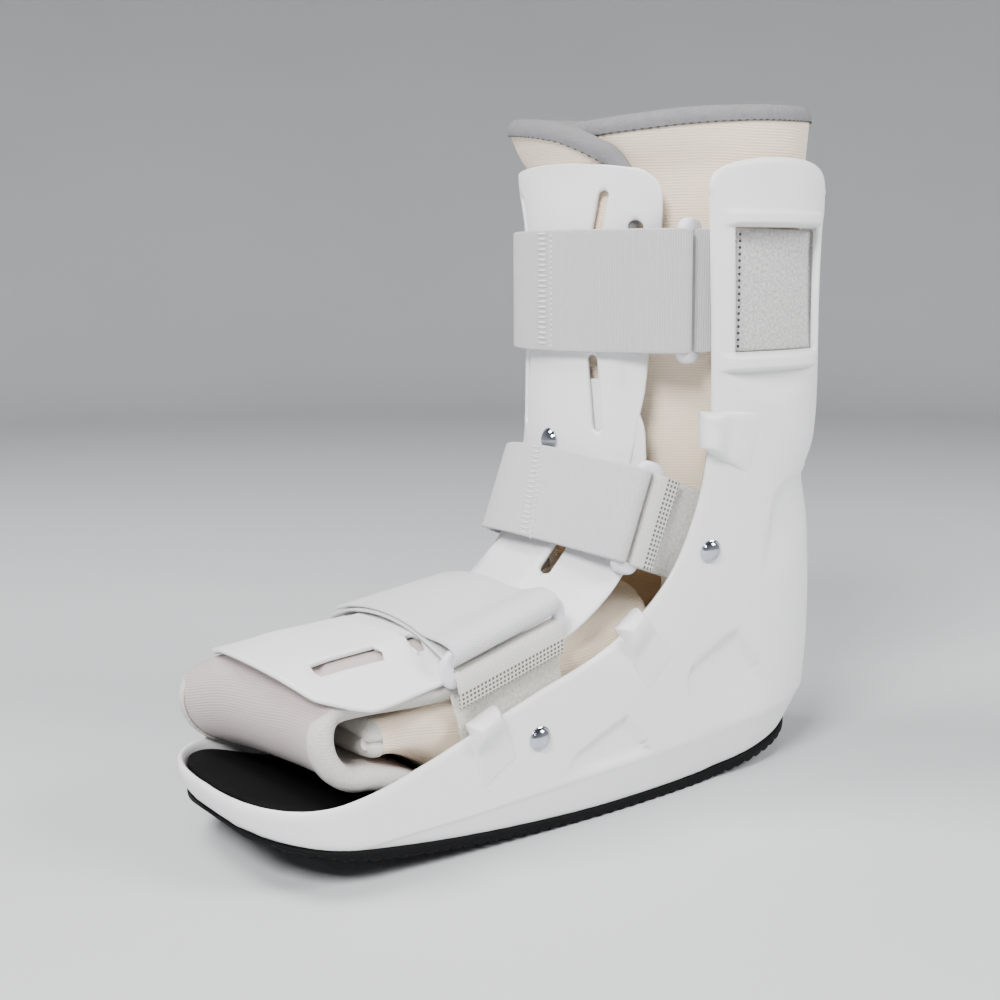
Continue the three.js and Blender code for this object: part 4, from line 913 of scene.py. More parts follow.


# The middle colour of each knit is the shade painted in the valleys of its ribs.
knit = knit_finish("beige knit", (246, 229, 206), (214, 192, 167), (249, 234, 212))
pale_knit = knit_finish("pale knit", (190, 180, 176), (163, 150, 145), (193, 179, 175))
pale_tape = tape_finish("pale tape", (208, 206, 200), (194, 192, 186))
toe_flap = make_piece("toe_flap_knit", [flap_part])
dress(toe_flap, pale_knit, "liner", "toe_flap")
foot_wrap = make_piece("foot_wrap_knit", [tube_part, heel_part])
dress(foot_wrap, knit, "liner", "liner_foot")
dress(make_piece("foot_tape", tape_parts), pale_tape, "liner")

# Liner, leg part: one padded knit sheet wound from inside the near front round the calf and over the
# front, where its rounded flap corner shows. A grey tape is sewn over its top edge.
WRAP_TURNS = (-32.0, 398.5)
WRAP_LAP = 8.7
LAP_EASE = (45.0, 115.0)
WRAP_TOP = np.array([
    (-32, 273), (0, 274.8), (30, 276.8), (45, 278), (60, 279.4), (90, 281.2), (112, 282), (135, 283.4),
    (180, 284.6), (225, 284.8), (270, 283.6), (310, 280.8), (334, 278.5), (350, 276.7), (362, 274.7),
    (371, 272.3), (384, 266), (392, 260), (396, 256), (398.5, 251),
])
wrap_front = smooth_table([100, 176, 194, 258, 266, 286], [51.2, 51.2, 55.4, 55.4, 58.4, 62.5])
wrap_inset = smooth_table([100, 135, 180, 250, 284], [12.8, 10, 7.6, 6.6, 4.6])


def wrap_point(turn, z):
    """A place on the leg wrap: a circle round the leg's front that eases to an oval at sides and back,
    and closer in where the sheet starts under its own other end."""
    angle = np.radians(turn)
    inset = wrap_inset(z)
    side = shell_side(z) - inset
    back = shell_back(z) - inset - LEG_Y
    oval = 1 / np.hypot(np.sin(angle) / side, np.cos(angle) / back)
    to_side = ramp(-0.66, 0, -np.cos(angle))
    lap = WRAP_LAP * (1 - ramp(*LAP_EASE, turn))
    flare = 4.5 * ramp(250, 278, z) * ramp(300, 335, turn) * (1 - 0.5 * ramp(360, 395, turn))
    radius = wrap_front(z) + (np.where(np.cos(angle) > 0, side, oval) - wrap_front(z)) * to_side - lap + flare
    soft = 0.5 * np.sin(z / 11 + 2 * angle) * np.sin(3 * angle + z / 37)
    radius = radius + soft * ramp(262, 250, z)
    return np.stack([radius * np.sin(angle), LEG_Y - radius * np.cos(angle), z + 0 * turn], -1)


def away_from_leg(turn):
    """Level direction straight out of the leg."""
    return np.stack([np.sin(np.radians(turn)), -np.cos(np.radians(turn)), 0 * turn], -1)


wrap_top = smooth_table(WRAP_TOP[:, 0], WRAP_TOP[:, 1])
wrap_turns = strip(*WRAP_TURNS, 4.0, 1.6)
wrap_share = strip(0, 1, 0.022, 0.022)
turn = np.broadcast_to(wrap_turns[:, None], (len(wrap_turns), len(wrap_share)))
z = LINER_SEAM + 1.2 + (wrap_top(turn) - LINER_SEAM - 1.2) * wrap_share[None, :]
wrap = wrap_point(turn, z)
wrap_normal = grid_normals(wrap, away_from_leg(turn))
leg_wrap = make_piece("leg_wrap_knit", [cloth_part(wrap, wrap_normal, LINER, 4.0)])
dress(leg_wrap, knit, "liner", "liner_leg")

# The tape's line follows the top edge and goes on down the flap's front edge
end_z = np.linspace(wrap_top(np.array(WRAP_TURNS[1])), LINER_SEAM + 10, 60)[1:]
top_turns = np.linspace(*WRAP_TURNS, 420)
line_turn = np.concatenate([top_turns, np.full_like(end_z, WRAP_TURNS[1])])
line_z = np.concatenate([wrap_top(top_turns), end_z])
line = wrap_point(line_turn, line_z)
step = 0.4
side_step = wrap_point(line_turn + step, line_z) - wrap_point(line_turn - step, line_z)
up_step = wrap_point(line_turn, line_z + step) - wrap_point(line_turn, line_z - step)
line_normal = unit(np.cross(side_step, up_step))
line_normal *= np.sign((line_normal * away_from_leg(line_turn)).sum(-1, keepdims=True))
line_run = unit(np.gradient(line, axis=0))
line_out = np.cross(line_normal, line_run)
line_out *= np.sign(line_out[200, 2])
TOP_TAPE_LAP = 5.6
grey_tape = tape_finish("grey binding tape", (138, 137, 139), (116, 115, 117))
top_tape = make_piece("top_binding", [tape_part(line, line_normal, line_out, LINER, TOP_TAPE_LAP, 0.8)])
dress(top_tape, grey_tape, "liner")


def plain_part(points, quads):
    """A part without flat places or free edges."""
    return points, quads, np.zeros((len(points), 2)), np.zeros(len(points))


def stitch_parts(centre, along, normal, length, width, height):
    """A row of stitches: each a small pillow, longer along the seam, half sunk in the cloth."""
    turn, tilt = np.meshgrid(np.linspace(0, 2 * np.pi, 9), np.linspace(0, np.pi, 5), indexing="ij")
    shape = np.stack([length / 2 * np.sin(tilt) * np.cos(turn), width / 2 * np.sin(tilt) * np.sin(turn),
                      height * np.cos(tilt)], -1).reshape(-1, 3)
    across = np.cross(normal, along)
    frames = np.stack([along, across, normal], 1)
    points = centre[:, None] + np.einsum("kj,njc->nkc", shape, frames)
    index = np.arange(len(shape)).reshape(turn.shape)
    cells = np.stack([index[:-1, :-1], index[:-1, 1:], index[1:, 1:], index[1:, :-1]], -1).reshape(-1, 4)
    quads = (cells[None] + (np.arange(len(centre)) * len(shape))[:, None, None]).reshape(-1, 4)
    return plain_part(points.reshape(-1, 3), quads)


dark_thread = mottled_finish("dark thread", (70, 71, 74), (48, 49, 52), 2200.0, 1.0, 0.8)
pale_thread = mottled_finish("pale thread", (226, 225, 222), (206, 205, 202), 2200.0, 1.0, 0.8)


def along_seam(path, pitch):
    """Places at an even pitch on a seam, as fractional positions between its points."""
    run = path_lengths(path)
    return np.interp(np.arange(pitch, run[-1] - pitch, pitch), run, np.arange(len(run)))


def pick(values, at):
    """Values between the points of a line, by straight lines."""
    low = np.floor(at).astype(int)
    share = (at - low)[:, None]
    return values[low] * (1 - share) + values[np.minimum(low + 1, len(values) - 1)] * share


seam = line - line_out * (TOP_TAPE_LAP - 0.4)
at = along_seam(seam, 3.2)
normal = pick(line_normal, at)
# Length, width and height of a stitch
STITCH = (2.1, 0.9, 0.75)
top_stitches = [stitch_parts(pick(seam, at) + normal * lift, pick(line_run, at), normal, *STITCH)
                for lift in (0.35, -LINER - 0.35)]
dress(make_piece("top_stitches", top_stitches, 0.0005), dark_thread, "liner")

# Front plates: two bent white plastic plates that hold the shin and the instep. The shin plate's tongue is
# riveted on the instep plate. Slots and windows are cut along the lines where their flanks are folded.
PLATE_ROUND = 0.9
SHIN_RADIUS = 58.8
SHIN_HALF = np.array([
    (131, 34.5), (136, 36.6), (142, 38), (155, 40.2), (170, 43.4), (185, 45), (235, 49.8), (246, 49.7),
    (250, 48.7), (253, 46.7), (255.4, 43.6), (256.8, 40.6),
])
SHIN_LEAD = np.array([(131, 3.4), (142, 1), (155, 0), (262, 0)])
SHIN_ARCH = 3.2
SHIN_FOLD = np.array([(131, 26), (154, 24.2), (184, 21.3), (223, 21.6), (247, 26.5), (260, 29.2)])
# Slots: middle, half length, half width and corner radius; the hole: angle, height and radius
SHIN_SLOTS = [(235.0, 12.0, 2.2, 2.19), (168.5, 15.5, 2.2, 2.19)]
SHIN_HOLE = (39.0, 233.6, 3.2)
FOLD_SLOPE = 0.06
# Bends across the flanks, from angle and height to angle and height, with their depth
SHIN_BENDS = [((37.0, 229.0), (51.5, 245.5), 1.5), ((45.0, 165.0), (36.8, 186.5), 1.4)]
shin_half, shin_lead = (smooth_table(rows[:, 0], rows[:, 1]) for rows in (SHIN_HALF, SHIN_LEAD))


def shin_fold(z):
    """Angle of the fold line and of the slots in it."""
    return np.interp(z, SHIN_FOLD[:, 0], SHIN_FOLD[:, 1])


def slot_opening(at, slots):
    """Half width of the slots along their line. A slot is its middle, its half length, its half width and
    the radius of its corners."""
    opening = np.zeros_like(at)
    for middle, half, wide, corner in slots:
        end = np.clip((np.abs(at - middle) - (half - corner)) / corner, 0, 1)
        opening = np.where(np.abs(at - middle) < half, wide - corner + corner * np.sqrt(1 - end**2), opening)
    return opening


def rows_with(low, high, rounding, spacing, marks):
    """Even rows, with more of them beside marks where slots begin and end."""
    rows = strip(low, high, rounding, spacing)
    extra = np.concatenate([mark + side * np.array([0, 0.06, 0.25, 0.6, 1.1, 1.9]) for mark, side in marks])
    rows = np.unique(np.concatenate([rows, extra]).round(4))
    return rows[np.concatenate([[True], np.diff(rows) > 0.02])]


def slotted_panels(rows, lines, halves, surface, thick, rounding, bend=lambda flat: flat):
    """Panels of a plate between its edges and its slots. Lines are the slots' middle lines and halves
    their half widths on each row, both in flat millimetres; beside a slot the columns open around it, and
    bend moves the flat places last."""
    bounds = []
    for k, line in enumerate(lines):
        bounds += [line - halves[k], line + halves[k]] if 0 < k < len(lines) - 1 else [line]
    outline = [np.stack([lines[0], rows], -1), np.stack([lines[-1], rows], -1)]
    for end in (0, -1):
        outline.append(along_line([(lines[0][end], rows[end]), (lines[-1][end], rows[end])], 0.3))
    for k in range(1, len(lines) - 1):
        cut = np.convolve(halves[k] > 0, np.ones(3), "same") > 0
        outline += [np.stack([(lines[k] + side * halves[k])[cut], rows[cut]], -1) for side in (1, -1)]
    fine = [np.stack([np.interp(np.linspace(0, len(o) - 1, 6 * len(o)), np.arange(len(o)), o[:, k])
                      for k in (0, 1)], -1) for o in outline]
    outline = bend(np.concatenate(fine))
    parts = []
    for k, (left, right) in enumerate(zip(bounds[0::2], bounds[1::2])):
        share = strip(0, 1, 0.1, 0.075)
        free = np.zeros((len(rows), len(share)), bool)
        free[[0, -1]] = True
        free[:, 0] |= (k == 0) | (halves[k] > 0)
        free[:, -1] |= (k == len(lines) - 2) | (halves[k + 1] > 0)
        flat = np.stack([left[:, None] + (right - left)[:, None] * share, np.broadcast_to(
            rows[:, None], (len(rows), len(share)))], -1)
        flat = bend(flat)
        step = 0.05
        grid = surface(flat[..., 0], flat[..., 1])
        along = surface(flat[..., 0], flat[..., 1] + step) - surface(flat[..., 0], flat[..., 1] - step)
        across = surface(flat[..., 0] + step, flat[..., 1]) - surface(flat[..., 0] - step, flat[..., 1])
        normal = unit(np.cross(along, across))
        normal *= np.sign((normal * (0, -1, 0.6)).sum(-1).mean())
        parts.append(sheet_parts(grid, normal, flat, nearest(flat, outline), thick, rounding, free=free))
    return parts


def shin_surface(c, z):
    """The shin plate: a cylinder about the leg with flanks folded in a little, its top flared on the far
    side and its upper edge arched."""
    angle = c / np.radians(1) / SHIN_RADIUS
    flank = np.maximum(np.abs(angle) - shin_fold(z), 0)
    flare = 2.4 * ramp(232, 256, z) * ramp(0, 34, -angle)
    radius = SHIN_RADIUS + shin_lead(z) - FOLD_SLOPE * flank + flare
    for start, end, depth in SHIN_BENDS:
        beyond = line_distance(np.abs(angle), z, [start, end])
        radius = radius - depth * ramp(0, 9, -beyond) * ramp(30, 37, np.abs(angle))
    turn = np.radians(angle)
    arch = SHIN_ARCH * np.clip(1 - (angle / 41) ** 2, 0, 1) * ramp(205, 257, z)
    return np.stack([radius * np.sin(turn), LEG_Y - radius * np.cos(turn), z + arch], -1)


marks = [(m + side * h, -side) for m, h, _, _ in SHIN_SLOTS for side in (1, -1)]
hole_angle, hole_z, hole_radius = SHIN_HOLE
marks += [(hole_z + side * hole_radius, -side) for side in (1, -1)]
shin_rows = rows_with(SHIN_HALF[0, 0], SHIN_HALF[-1, 0], PLATE_ROUND, 1.5, marks)
arc = np.radians(1) * SHIN_RADIUS
slot_line = arc * np.minimum(shin_fold(shin_rows), 0.72 * shin_half(shin_rows))
hole_line = arc * np.minimum(hole_angle, 0.86 * shin_half(shin_rows))
edge_line = arc * shin_half(shin_rows)
slot_half = slot_opening(shin_rows, SHIN_SLOTS)
hole_half = slot_opening(shin_rows, [(hole_z, hole_radius, hole_radius, hole_radius - 1e-6)])
none = np.zeros_like(shin_rows)
shin_lines = [-edge_line, -hole_line, -slot_line, slot_line, hole_line, edge_line]
shin_parts = slotted_panels(shin_rows, shin_lines, [none, hole_half, slot_half, slot_half, hole_half, none],
                            shin_surface, PLATE, PLATE_ROUND)
plate_finish = plastic_finish("white plate plastic", (237, 237, 239), (231, 231, 233), 0.44)
shin_plate = make_piece("shin_plate_moulding", shin_parts)
dress(shin_plate, plate_finish, "plates", "shin_plate")

run_of_y = smooth_table(INSTEP_ROWS[5:, 0][::-1], instep_run[5:][::-1])
INSTEP_SLOTS = [
    # middle along the boot, half length, half width, corner radius
    (1.0, 10.0, 2.0, 1.99), (-68.4, 2.1, 4.6, 1.2), (-98.6, 14.3, 4.0, 1.0),
]
instep_slots = [(float(run_of_y(y)), *sizes) for y, *sizes in INSTEP_SLOTS]
instep_front = float(run_of_y(-117.5))
FRONT_BOW = 10.5


def instep_surface(c, run):
    """The instep plate: its middle line with its bow and folded flanks at right angles under it."""
    fall = plate_fall(run, c)
    step = 0.5
    dy = instep_y(run + step) - instep_y(run - step)
    dz = instep_z(run + step) - instep_z(run - step)
    length = np.hypot(dy, dz)
    return np.stack([c, instep_y(run) - fall * dz / length, instep_z(run) + fall * dy / length], -1)


def front_bow(flat):
    """The plate's front edge bows forward in its middle, and the rows behind it less and less."""
    c, run = flat[..., 0], flat[..., 1]
    bow = FRONT_BOW * np.clip(1 - np.abs(c / instep_half(run)) ** 2.2, 0, 1)
    bow = bow * ramp(instep_front - 4.4, instep_front, run)
    return np.stack([c, run + bow], -1)


marks = [(m + side * h, -side) for m, h, _, _ in instep_slots for side in (1, -1)]
instep_rows = rows_with(0.0, instep_front, PLATE_ROUND, 1.6, marks)
to_front = np.clip((instep_rows - instep_front + 15) / 15, 0, 1)
edge_line = instep_half(instep_rows) - 12 * (1 - np.sqrt(1 - to_front**2))
slot_line = np.minimum(instep_fold(instep_rows), 0.72 * edge_line)
slot_half = slot_opening(instep_rows, instep_slots)
none = np.zeros_like(instep_rows)
instep_lines = [-edge_line, -slot_line, slot_line, edge_line]
instep_parts = slotted_panels(instep_rows, instep_lines, [none, slot_half, slot_half, none], instep_surface,
                              PLATE, PLATE_ROUND, front_bow)
instep_plate = make_piece("instep_plate_moulding", instep_parts)
dress(instep_plate, plate_finish, "plates", "instep_plate")

# Rivets: chromed dome heads that clamp the plates and the strap ends through the wall
RIVET_RADIUS = 4.9
RIVET_RISE = 2.6


def rivet_part(seat, normal):
    """A dome head on its thin flange, turned about the rivet's axis."""
    dome = np.linspace(0, 0.86, 14)
    r = np.concatenate([dome, [0.92, 0.97, 1.0, 1.0, 0.9, 0.0]])
    h = np.concatenate([RIVET_RISE * np.sqrt(1 - (dome / 0.93) ** 2), [0.62, 0.55, 0.4, 0.0, -1.2, -1.2]])
    turn = np.linspace(0, 2 * np.pi, 41)
    normal = np.array(normal) / np.linalg.norm(normal)
    side = np.cross(normal, (0, 0, 1))
    side /= np.linalg.norm(side)
    ring = np.cos(turn)[:, None] * side + np.sin(turn)[:, None] * np.cross(normal, side)
    grid = np.array(seat) + normal * h[:, None, None] + RIVET_RADIUS * r[:, None, None] * ring[None]
    return plain_part(grid.reshape(-1, 3), grid_quads(*grid.shape[:2]).reshape(-1, 4))


chrome, tree, shader = new_finish("chromed rivet")
place = put(tree, "ShaderNodeTexCoord").outputs["Object"]
haze = noise(tree, place, 400.0, 3.0)
tree.links.new(mix(tree, haze, (205, 209, 216), (184, 189, 200)), shader.inputs["Base Color"])
tree.links.new(span(tree, haze, 0.3, 0.7, 0.05, 0.14), shader.inputs["Roughness"])
shader.inputs["Metallic"].default_value = 1.0
SHELL_RIVETS = {"ankle": (57.5, 104.0), "foot": (-29.0, 41.0)}
plate_seat = (0, LEG_Y - SHIN_RADIUS - 0.9, 148.0)
dress(make_piece("plate_rivet_head", [rivet_part(plate_seat, (0, -1, 0.05))]), chrome, "rivet", "plate_rivet")
for name, (y, z) in SHELL_RIVETS.items():
    normal = wall_normal(np.array(y), np.array(z))
    seat = np.array([half_width(np.array(y), np.array(z)), y, z]) + normal * 0.15
    near_head = rivet_part(seat, normal)
    far_head = mirrored(near_head)
    dress(make_piece(f"rivet_{name}_near_head", [near_head]), chrome, "rivet", f"rivet_{name}_near")
    dress(make_piece(f"rivet_{name}_far_head", [far_head]), chrome, "rivet", f"rivet_{name}_far")

# Straps: hook and loop webbing. Each comes over the front plates from the far side, turns round the first
# bar of a plastic ring and lies back on itself. The ring's second bar is held by a sewn anchor loop.
WEBBING = 1.6
LAYER = 2.0
FOLD_RADIUS = 3.58
FOLD_RUN = 20.0
RING_POWER = 0.7
RING_SECTION_POWER = 0.75
# Painted shade in the holes of the anchors' sewn grids
HOLE_SHADE_COLOUR = (72, 71, 62)


def strap_frame(origin, tilt):
    """Turns places of a strap's own frame, across the boot, out of the leg and along the webbing's width,
    into places on the boot."""
    turn = np.radians(tilt)
    axes = np.array([[1, 0, 0], [0, np.cos(turn), np.sin(turn)], [0, -np.sin(turn), np.cos(turn)]])
    return np.array(origin, float), axes


def left_of(path):
    """Unit directions to the left of a flat path."""
    run = unit(np.gradient(path, axis=0))
    return np.stack([-run[:, 1], run[:, 0]], -1)


def even_path(path, spacing, soften):
    """A path cut into even steps, its corners softened by repeated averaging with the neighbours."""
    path = along_line(path, spacing)
    for _ in range(soften):
        path[1:-1] = path[:-2] / 4 + path[1:-1] / 2 + path[2:] / 4
    return path


def fold_back(under, back, side):
    """Webbing that follows a path, turns round a bar at its end and lies back for a length on the bar's
    side, left for 1 and right for -1. Returns the whole path and the bar's place."""
    out = left_of(under) * side
    end_out = out[-1]
    bar = under[-1] + end_out * FOLD_RADIUS
    run = np.array([end_out[1], -end_out[0]]) * side
    angle = np.linspace(0, np.pi, 22)[:, None]
    bend = bar - end_out * FOLD_RADIUS * np.cos(angle) + run * FOLD_RADIUS * np.sin(angle)
    gone = path_lengths(under[::-1])
    lift = 2 * FOLD_RADIUS + (LAYER - 2 * FOLD_RADIUS) * ramp(0, FOLD_RUN, gone)
    over = (under[::-1] + out[::-1] * lift[:, None])[1:][gone[1:] <= back]
    return np.concatenate([under[:-1], bend, over]), bar


class Strap:
    """A ribbon of webbing along a flat path in its frame. Its UV map runs from the path's end along it and
    across from its middle, in millimetres."""

    def __init__(self, path, width, origin, axes, lean=None):
        self.path, self.width, self.origin, self.axes, self.lean = path, width, origin, axes, lean
        self.run = path_lengths(path)
        self.length = float(self.run[-1])
        self.left = left_of(path)

    def place(self, index, wide, lift):
        """Places at path positions and across the width, lifted off the middle to the path's left."""
        flat = pick(self.path, index) + pick(self.left, index) * np.reshape(lift, (-1, 1))
        if self.lean is not None:
            flat = flat + self.lean(flat, wide)
        return self.origin + flat @ self.axes[:2] + np.reshape(wide, (-1, 1)) * self.axes[2]

    def part(self):
        """The ribbon itself, with round long edges and ends."""
        across = strip(-self.width / 2, self.width / 2, 0.8, 1.6)
        index = np.repeat(np.arange(len(self.path), dtype=float), len(across))
        wide = np.tile(across, len(self.path))
        shape = (len(self.path), len(across), 3)
        outer = self.place(index, wide, np.full(len(index), WEBBING / 2)).reshape(shape)
        middle = self.place(index, wide, np.zeros(len(index))).reshape(shape)
        normal = unit(outer - middle)
        run = np.broadcast_to(self.run[:, None], shape[:2])
        away = np.minimum(self.width / 2 - np.abs(across)[None, :], np.minimum(run, self.length - run))
        flat = np.stack([self.length - run, np.broadcast_to(across[None, :], shape[:2])], -1)
        return sheet_parts(outer, normal, flat, away, WEBBING, 0.8)

    def stitches(self, from_end, wide, length, width, height, side):
        """Stitches at distances from the path's end and across the width, on the left for side 1."""
        index = np.interp(self.length - from_end, self.run, np.arange(len(self.run)))
        lift = np.full(len(index), side * (WEBBING / 2 + 0.05))
        centre = self.place(index, wide, lift)
        along = unit(self.place(index + 0.2, wide, lift) - self.place(np.maximum(index - 0.2, 0), wide, lift))
        normal = (centre - self.place(index, wide, 0 * lift)) / np.abs(lift)[:, None]
        return stitch_parts(centre, along, normal, length, width, height)


def ring_part(first, second, width, origin, axes, lean=None):
    """A ring with two straight bars and broad round ends, swept with a soft oval section."""
    between = second - first
    half = np.linalg.norm(between) / 2
    inward = between / (2 * half)
    straight = (width + 8.6) / 2 - 2.25 - half
    turn = np.linspace(0, np.pi, 25)
    bar = np.linspace(-1, 1, 20)[1:-1]
    side = half * signed_power(np.cos(turn), RING_POWER)
    end = straight + half * np.sin(turn) ** RING_POWER
    a = np.concatenate([side, np.full_like(bar, -half), -side, np.full_like(bar, half), [half]])
    b = np.concatenate([end, -bar * straight, -end, bar * straight, [straight]])
    broad = np.clip((np.abs(b) - straight + 1.5) / 4.0, 0, 1)
    radial = unit(np.stack([a, b - np.clip(b, -straight, straight)], -1))
    around = np.linspace(0, 2 * np.pi, 25)
    thick_in = 1.8 + 0.9 * broad
    shift = -0.5 * broad
    oval_c, oval_s = (signed_power(wave_of(around), RING_SECTION_POWER) for wave_of in (np.cos, np.sin))
    reach = (shift[:, None] + thick_in[:, None] * oval_c[None, :])[..., None]
    plane = np.stack([a, b], -1)[:, None] + radial[:, None] * reach
    lift = (1.8 + 0.25 * broad)[:, None] * oval_s[None, :]
    middle = (first + second) / 2
    out = np.array([-inward[1], inward[0]])
    flat = middle + plane[..., :1] * inward + lift[..., None] * out
    flat = flat if lean is None else flat + lean(flat, plane[..., 1])
    grid = origin + flat @ axes[:2] + plane[..., 1:] * axes[2]
    quads = grid_quads(*grid.shape[:2]).reshape(-1, 4)
    points = grid.reshape(-1, 3)
    hub = grid.mean(1, keepdims=True)
    first_quad = points[quads[:, 0]], points[quads[:, 1]], points[quads[:, 3]]
    facing = np.cross(first_quad[1] - first_quad[0], first_quad[2] - first_quad[0])
    outward = (grid - hub).reshape(-1, 3)[quads[:, 0]]
    quads = quads if (facing * outward).sum() > 0 else quads[:, ::-1]
    return plain_part(points, quads)


def webbing_finish(name, colour, shade, pile, ribs, dots=None, tones=None):
    """Hook and loop webbing: a close weave with fine ribs across the strap, and between two distances from
    its end a brushed pile, which may have two tones of its own. The second colour and tone are painted shade,
    laid where the weave and pile are low. Dots are the holes of a sewn grid, painted dark as the shade in
    them:
    start, end and pitch along the strap."""
    finish, tree, shader = new_finish(name)
    flat = put(tree, "ShaderNodeUVMap", uv_map="flat").outputs[0]
    along, wide, _ = put(tree, "ShaderNodeSeparateXYZ", {0: flat}).outputs
    woven = compute(tree, "MULTIPLY_ADD", wave(tree, wide, 0.7), 0.14, wave(tree, along, ribs))
    weave = compute(tree, "MULTIPLY_ADD", noise(tree, flat, 1.6, 3.0), 1.6, woven)
    tuft = put(tree, "ShaderNodeTexNoise", {"Vector": flat, "Scale": 0.75, "Detail": 5.0, "Roughness": 0.7})
    tuft = tuft.outputs[0]
    nap = compute(tree, "MULTIPLY", tuft, 6.0)
    begun = span(tree, along, pile[0] - 0.3, pile[0] + 0.3, 0.0, 1.0)
    brushed = span(tree, along, pile[1] - 0.3, pile[1] + 0.3, begun, 0.0)
    height = put(tree, "ShaderNodeMix", {0: brushed, 2: weave, 3: nap}).outputs[0]
    set_bump(tree, shader, height, 0.35, 0.0005)
    # Painted shade: these shares send the colour to the shade tones where the weave's valleys and the pile's
    # tufts are low.
    valley_shade = span(tree, weave, -0.8, 1.8, 0.7, 0.0)
    pile_hollow_shade = span(tree, tuft, 0.35, 0.65, 1.0, 0.0)
    low = put(tree, "ShaderNodeMix", {0: brushed, 2: valley_shade, 3: pile_hollow_shade}).outputs[0]
    plain = (colour, shade)
    surface = mix(tree, low, *(mix(tree, brushed, *pair) for pair in zip(plain, tones or plain)))
    if dots is not None:
        # Painted shade: the holes of the sewn grid are coloured dark for the shade inside them.
        start, end, pitch = dots
        folds = [compute(tree, "PINGPONG", axis, pitch / 2) for axis in (along, wide)]
        hole_shade = span(tree, compute(tree, "MINIMUM", *folds), pitch * 0.15, pitch * 0.27, 0.0, 0.92)
        after = compute(tree, "GREATER_THAN", along, start)
        before = compute(tree, "LESS_THAN", along, end)
        shown = compute(tree, "MULTIPLY", compute(tree, "MULTIPLY", after, before), hole_shade)
        surface = mix(tree, shown, surface, HOLE_SHADE_COLOUR)
    tree.links.new(surface, shader.inputs["Base Color"])
    shader.inputs["Roughness"].default_value = 0.85
    shader.inputs["Specular IOR Level"].default_value = 0.2
    shader.inputs["Sheen Weight"].default_value = 0.15
    return finish


ring_finish = plastic_finish("ring plastic", (232, 231, 238), (224, 223, 231), 0.36)

# Calf strap: it goes right round the leg through the uprights, where its pile shows in the windows, and its
# other end is sewn round the ring's second bar.
CALF_Z = 209.3
CALF_WIDTH = 48.6
CALF_SIDE = 59.3
CALF_FRONT = 60.6
CALF_BACK = 63.4
CALF_FOLD = 57.0
CALF_LOOP = 64.4
CALF_TAB = -38.0
CALF_SEWN = 21.0
CALF_POWER = 2.6
origin, axes = strap_frame((0, LEG_Y, CALF_Z), 180)
turn = np.radians(np.linspace(CALF_LOOP - 360, CALF_FOLD, 600))
blunt = np.where(np.cos(turn) > 0, 1.0, 2 / CALF_POWER)
depth = np.where(np.cos(turn) > 0, CALF_FRONT, CALF_BACK)
ellipse = np.stack([
    CALF_SIDE * signed_power(np.sin(turn), blunt), depth * signed_power(np.cos(turn), blunt)], -1)
ellipse = even_path(ellipse, 1.5, 6)
tab_length = np.radians(CALF_FOLD - CALF_TAB) * CALF_SIDE
front_path, first_bar = fold_back(ellipse, tab_length, 1)
loop_path, second_bar = fold_back(ellipse[::-1], CALF_SEWN, 1)
sewn = loop_path[len(ellipse) - 1:][::-1]
calf = Strap(np.concatenate([sewn, front_path[1:]]), CALF_WIDTH, origin, axes)
calf_pile = (tab_length + 12, calf.length - 46.0)
# The second colour and the second pile tone are the shade painted in the weave's valleys and the pile's
# hollows.
calf_weave = webbing_finish("calf webbing", (197, 195, 195), (164, 162, 163), calf_pile, 0.95,
                            tones=((214, 213, 211), (164, 163, 162)))
calf_strap = make_piece("calf_webbing", [calf.part()])
dress(calf_strap, calf_weave, "webbing", "calf_strap")
ring = ring_part(first_bar, second_bar, CALF_WIDTH, origin, axes)
dress(make_piece("calf_ring_bars", [ring]), ring_finish, "rings", "calf_ring")
rungs = np.arange(-CALF_WIDTH / 2 + 1.4, CALF_WIDTH / 2 - 1, 2.1)
dark_places = np.tile(calf.length - np.array([46.4, 48.8]), 18)
dark_seam = calf.stitches(dark_places, np.repeat(np.linspace(-22, 22, 18), 2), 1.3, 1.3, 0.25, 1)
seam_parts = [
    calf.stitches(np.full(len(rungs), 39.5), rungs, 6.6, 1.1, 0.45, -1),
    calf.stitches(np.full(len(rungs), 45.2), rungs + 1, 1.1, 1.5, 0.4, -1),
]

# Ankle and foot straps: riveted inside the far wall; their anchors are riveted inside the near wall
STRAPS = {
    # origin, tilt, width, half span, drop, tab's end, place at the wall's edge, distance between the
    # ring's bars, twist
    "ankle": ((0, 2.8, 128.3), 159.3, 38.0, 42.6, 20.5, -33.0, (43.0, 108.0), 10.8, 0.0),
    "foot": ((0, -43.0, 88.6), 98.5, 50.0, 45.0, 9.6, -38.0, (-36.0, 56.0), 11.6, 0.14),
}
# The second colour of each webbing is the shade painted in its valleys.
WEAVES = {
    "ankle": webbing_finish("ankle webbing", (206, 204, 205), (184, 182, 183), (140.0, 900.0), 0.8),
    "foot": webbing_finish("foot webbing", (216, 216, 216), (198, 198, 198), (140.0, 900.0), 0.7),
}
# The anchors' dots are the holes of a sewn grid, painted dark as shade.
ANCHOR_WEAVES = {
    "ankle": webbing_finish("ankle anchor webbing", (214, 213, 208), (182, 181, 174), (24.0, 900.0), 0.8,
                            (0.6, 7.4, 1.9)),
    "foot": webbing_finish("foot anchor webbing", (221, 219, 210), (186, 184, 174), (26.0, 900.0), 0.8,
                           (0.6, 7.0, 1.75)),
}
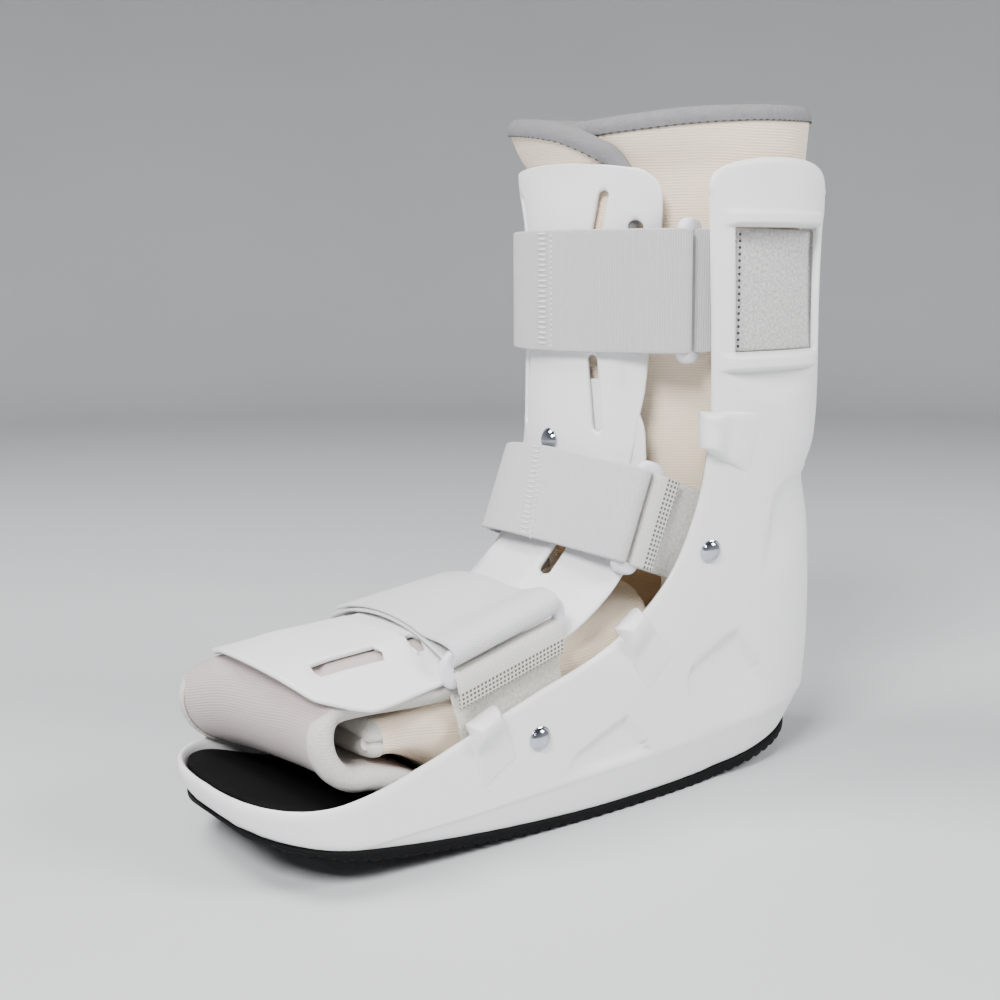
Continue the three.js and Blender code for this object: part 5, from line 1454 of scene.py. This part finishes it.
# Rows of stitches: distance from the strap's end, skew and pitch
SEAMS = {"ankle": (42.6, 3.7, 2.1), "foot": (41.0, 6.0, 1.5)}
for name, (spot, tilt, width, half, drop, tab, rim_place, spacing, twist) in STRAPS.items():
    origin, axes = strap_frame(spot, tilt)

    def inside_wall(place, depth):
        """A place inside the near wall, as seen in the strap's frame."""
        y, z = (np.array(value) for value in place)
        point = np.array([half_width(y, z), y, z]) - wall_normal(y, z) * (WALL + depth + WEBBING / 2)
        return axes[:2] @ (point - origin)

    seat = inside_wall(SHELL_RIVETS[name], 1.3)
    rim = inside_wall(rim_place, 2.5)
    tail = seat + (seat - rim) / np.linalg.norm(seat - rim) * 8
    radius = (half**2 + drop**2) / (2 * drop)
    turn = np.linspace(-1, 1, 90) * np.arcsin(half / radius)
    arch = np.stack([radius * np.sin(turn), radius * (np.cos(turn) - 1)], -1)
    under = even_path(np.concatenate([np.array([tail, seat, rim]) * (-1, 1), arch]), 1.3, 6)
    y, z = SHELL_RIVETS[name]
    ends = [half_width(np.array(y + axes[2, 1] * w), np.array(z + axes[2, 2] * w))
            for w in (width / 2, -width / 2)]
    slope = (ends[0] - ends[1]) / width

    def lean(flat, wide, drop=drop + spacing, rim=rim, slope=slope, twist=twist, half=half,
             pivot=0.36 * width):
        """The strap's ends lean along its width as the wall does, and its ring end twists with the wall's
        edge."""
        aside = np.sign(flat[..., 0]) * ramp(drop, -rim[1], -flat[..., 1]) * slope * wide
        return np.stack([aside, -twist * (wide - pivot) * ramp(15, half, flat[..., 0])], -1)

    back = radius * (np.arcsin(half / radius) - np.arcsin(tab / radius))
    path, first_bar = fold_back(under, back, 1)
    band = Strap(path, width, origin, axes, lean)
    strap = make_piece(f"{name}_webbing", [band.part()])
    dress(strap, WEAVES[name], "webbing", f"{name}_strap")
    pull = (rim - first_bar) / np.linalg.norm(rim - first_bar)
    second_bar = first_bar + pull * spacing
    loop_foot = second_bar + np.array([pull[1], -pull[0]]) * FOLD_RADIUS
    rise = even_path(np.array([tail, seat, rim, loop_foot]), 1.0, 6)
    path, second_bar = fold_back(rise, 9.5 if name == "ankle" else 11.0, -1)
    loop = Strap(path, width, origin, axes, lean)
    anchor = make_piece(f"{name}_anchor_webbing", [loop.part()])
    dress(anchor, ANCHOR_WEAVES[name], "webbing", f"{name}_anchor")
    ring = ring_part(first_bar, second_bar, width, origin, axes, lean)
    dress(make_piece(f"{name}_ring_bars", [ring]), ring_finish, "rings", f"{name}_ring")
    seam, skew, pitch = SEAMS[name]
    rungs = np.arange(-width / 2 + 1.2, width / 2 - 1, pitch)
    place = seam + skew * rungs * 2 / width
    if name == "ankle":
        seam_parts.append(band.stitches(place - 1.2, rungs, 5.6, 1.1, 0.45, -1))
        seam_parts.append(band.stitches(place + 3.2, rungs + 1, 0.9, 1.6, 0.35, -1))
    else:
        seam_parts.append(band.stitches(place, rungs, 0.7, 1.1, 0.25, -1))
dress(make_piece("strap_stitches", seam_parts, 0.0005), pale_thread, "webbing")
dress(make_piece("window_stitches", [dark_seam], 0.0005), dark_thread, "webbing")
